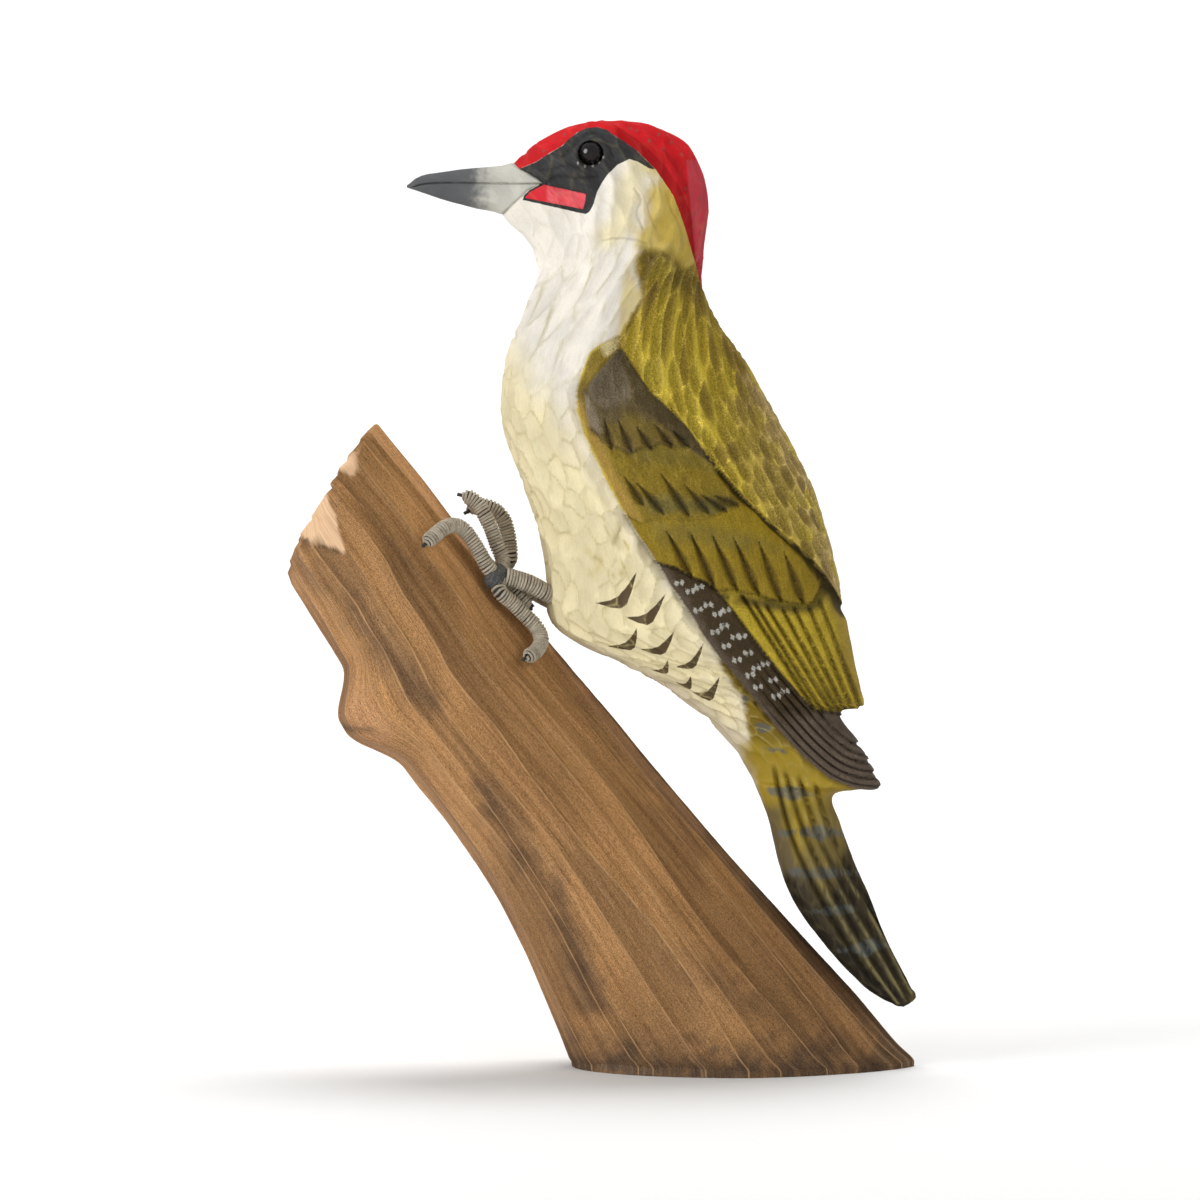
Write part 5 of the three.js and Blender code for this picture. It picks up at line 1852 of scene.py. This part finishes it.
def thread_path(knots: Array, steps: int = 80) -> Array:
    """Even points on a smooth curve through knots, paced by the knots' distances."""
    ends = np.array([2 * knots[0] - knots[1], *knots, 2 * knots[-1] - knots[-2]])
    pieces = []
    for before, start, end, after in zip(ends, ends[1:], ends[2:], ends[3:]):
        steps_here = ((before, start), (start, end), (end, after))
        d0, d1, d2 = (math.sqrt(float(np.linalg.norm(b - a))) for a, b in steps_here)
        leave = ((start - before) / d0 - (end - before) / (d0 + d1) + (end - start) / d1) * d1
        arrive = ((end - start) / d1 - (after - start) / (d1 + d2) + (after - end) / d2) * d1
        pieces.append(smooth_run(start, end, leave, arrive, np.linspace(0, 1, 12, endpoint=False)[:, None]))
    line = np.concatenate(pieces + [knots[-1:]])
    length = np.concatenate([[0], np.cumsum(np.linalg.norm(np.diff(line, axis=0), axis=1))])
    even = np.linspace(0, length[-1], steps)
    return np.stack([np.interp(even, length, line[:, axis]) for axis in range(3)], axis=1)


def round_mesh(name: str, shape: Callable, **sizes: float) -> Mesh:
    """A mesh of one of the round shapes."""
    mesh = bpy.data.meshes.new(name)
    shell = bmesh.new()
    shape(shell, **sizes)
    shell.to_mesh(mesh)
    shell.free()
    return mesh


@dataclass
class WoundFeet:
    """Both feet: legs and toes of thread-wound wire, held by lumps of putty."""

    form: LogForm
    winding: Winding
    putty: Material
    leg_coil: float = 2.7
    leg_core: float = 2.5
    bare_end: float = 1.7
    joint_radii: Triple = (4.9, 4.1, 3.6)
    joint_lean: Triple = (0.35, 0.8, 0.5)

    def joint_place(self, foot: Foot) -> Array:
        """The middle of a foot's joint."""
        station, degrees, height = foot.joint
        return self.form.point(station, foot.side * degrees, height)

    def lump(self, foot: Foot) -> Mesh:
        """A pressed lump of putty where leg and toes meet."""
        ball = round_mesh(f"{foot.name}_putty", bmesh.ops.create_icosphere, subdivisions=5, radius=1.0)
        unit = positions(ball) * MM
        dents = cloud(unit[:, 0] * 1.6 + 5, unit[:, 2] * 1.6 + unit[:, 1], 91) * 0.13
        dents += cloud(unit[:, 0] * 5 + 5, unit[:, 2] * 5 + unit[:, 1] * 4, 97) * 0.05
        spot = unit * np.array(self.joint_radii) * (1 + dents)[:, None]
        lean = Vector((self.joint_lean[0], -foot.side * self.joint_lean[1], self.joint_lean[2])).normalized()
        turn = np.array(Vector((1, 0, 0)).rotation_difference(lean).to_matrix())
        moved = (spot @ turn.T + self.joint_place(foot)) * MM
        ball.vertices.foreach_set("co", moved.astype(np.float32).ravel())
        return ball

    def build(self, foot: Foot) -> None:
        """Builds and declares one foot's pieces."""
        lump = add_object(f"{foot.name}_foot_putty", self.lump(foot), self.putty)
        declare(lump, f"{foot.name}_foot_joint")
        start, end = (np.array([p[0], foot.side * p[1], p[2]]) for p in (foot.leg_from, foot.leg_to))
        joint = self.joint_place(foot)
        root = end + np.array([7.0, -4.5 * foot.side, -3.0])
        path = np.array([joint + (start - joint) * 0.5, (start + end) / 2, end, root])
        name = f"{foot.name}_leg"
        self.wind(name, name, path, Coil_Radius=self.leg_coil, Core_Radius=self.leg_core, Seed=3.0)
        for index, (toe, knots) in enumerate(foot.toes.items()):
            points = [self.form.point(s, foot.side * d, h) for s, d, h in knots]
            last = (points[-1] - points[-2]) / np.linalg.norm(points[-1] - points[-2])
            path = np.array([joint + (points[0] - joint) * 0.45, *points, points[-1] + last * self.bare_end])
            name = f"{foot.name}_{toe}"
            self.wind(name, name + "_toe", path, Bare_End=self.bare_end, Seed=10.0 * index + foot.side)

    def wind(self, draft: str, node: str, path: Array, **sizes: float) -> None:
        """Winds and declares one leg or toe."""
        mesh = self.winding.wind(draft, thread_path(path), **sizes)
        declare(add_object(node + "_wound", mesh, self.winding.finish), node)


@dataclass
class GlassEyes:
    """Two black glass balls in their sockets."""

    radius: float = 3.75

    def build(self, finish: Material) -> None:
        """Builds and declares both eyes."""
        for name, side in (("left_eye", -1), ("right_eye", 1)):
            mesh = round_mesh(name + "_glass", bmesh.ops.create_uvsphere, u_segments=64, v_segments=40,
                              radius=self.radius * MM)
            x, y, z = EYE_CENTRE
            mesh.transform(Matrix.Translation(Vector((x, side * y, z)) * MM))
            declare(add_object(name + "_glass", mesh, finish), name)


@dataclass
class Studio:
    """A pale sweep of paper, soft lights and the camera."""

    distance: float = 3.0
    view_width: float = 0.4
    sensor: float = 36.0
    half_floor: float = 6.0
    floor_front: float = -4.0
    bend_start: float = 2.2
    bend_radius: float = 1.5
    wall_top: float = 5.0
    bend_steps: int = 24
    air: float = 0.28

    def floor(self, finish: Material) -> None:
        """A floor that curves up into a backdrop far behind."""
        bend, radius = self.bend_start, self.bend_radius
        turns = np.linspace(0, math.pi / 2, self.bend_steps)
        profile = [(self.floor_front, 0.0), (bend, 0.0)]
        profile += [(bend + math.sin(a) * radius, radius - math.cos(a) * radius) for a in turns]
        profile += [(bend + radius, self.wall_top)]
        vertices = [(x, y, z) for y, z in profile for x in (-self.half_floor, self.half_floor)]
        faces = [(2 * i, 2 * i + 1, 2 * i + 3, 2 * i + 2) for i in range(len(profile) - 1)]
        mesh = bpy.data.meshes.new("studio_sweep")
        mesh.from_pydata(vertices, [], faces)
        sweep = add_object("studio_sweep", mesh, finish)
        sweep.visible_glossy = False

    def lamp(self, name: str, place: Triple, size: float, power: float,
             target: Triple = (-0.04, 0.0, 0.15), glints: bool = False) -> None:
        """A soft round light turned to a target, that only shows as a reflection if it glints."""
        data = bpy.data.lights.new(name, "AREA")
        data.shape, data.size, data.energy = "DISK", size, power
        lamp = bpy.data.objects.new(name, data)
        lamp.location = place
        lamp.visible_glossy = glints
        aim = Vector(target) - Vector(place)
        lamp.rotation_euler = aim.to_track_quat("-Z", "Y").to_euler()
        bpy.context.scene.collection.objects.link(lamp)

    def camera(self) -> None:
        """The camera, level with the carving and looking slightly down."""
        data = bpy.data.cameras.new("camera")
        data.sensor_width = self.sensor
        data.lens = self.sensor * self.distance / self.view_width
        data.clip_end = 50
        camera = bpy.data.objects.new("camera", data)
        target = Vector((SKETCH.centre[0], 0, SKETCH.centre[1])) * MM
        tilt = SKETCH.eye_height
        camera.location = target + Vector((0, -math.cos(tilt), math.sin(tilt))) * self.distance
        camera.rotation_euler = (target - camera.location).to_track_quat("-Z", "Y").to_euler()
        bpy.context.scene.collection.objects.link(camera)
        bpy.context.scene.camera = camera

    def build(self) -> None:
        """Sets the whole studio up."""
        world = bpy.data.worlds.new("studio_air")
        world.use_nodes = True
        light = world.node_tree.nodes["Background"].inputs
        light[0].default_value, light[1].default_value = (1, 1, 1, 1), self.air
        bpy.context.scene.world = world
        bpy.context.scene.view_settings.view_transform = "Standard"
        self.floor(FloorFinish().build())
        self.lamp("key", (-2.0, -1.25, 1.0), 1.7, 34.5, glints=True)
        self.lamp("fill", (1.5, -1.9, 1.1), 1.6, 16)
        self.lamp("backdrop", (0.0, 1.1, 2.8), 2.0, 80, (0.0, 2.2, 0.2))
        self.camera()


def main() -> None:
    """Builds the carving piece by piece, then the studio, and notes the sizes."""
    logging.basicConfig(level=logging.INFO, format="%(message)s")
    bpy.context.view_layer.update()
    WoodpeckerCarving().build(PaintedWoodFinish().build())
    LeaningLog().build(LogWoodFinish().build())
    GlassEyes().build(EyeGlassFinish().build())
    feet = WoundFeet(LogForm(), Winding(ThreadFinish().build()), PuttyFinish().build())
    for foot in (LEFT_FOOT, RIGHT_FOOT):
        feet.build(foot)
    Studio().build()


if __name__ == "__main__":
    main()
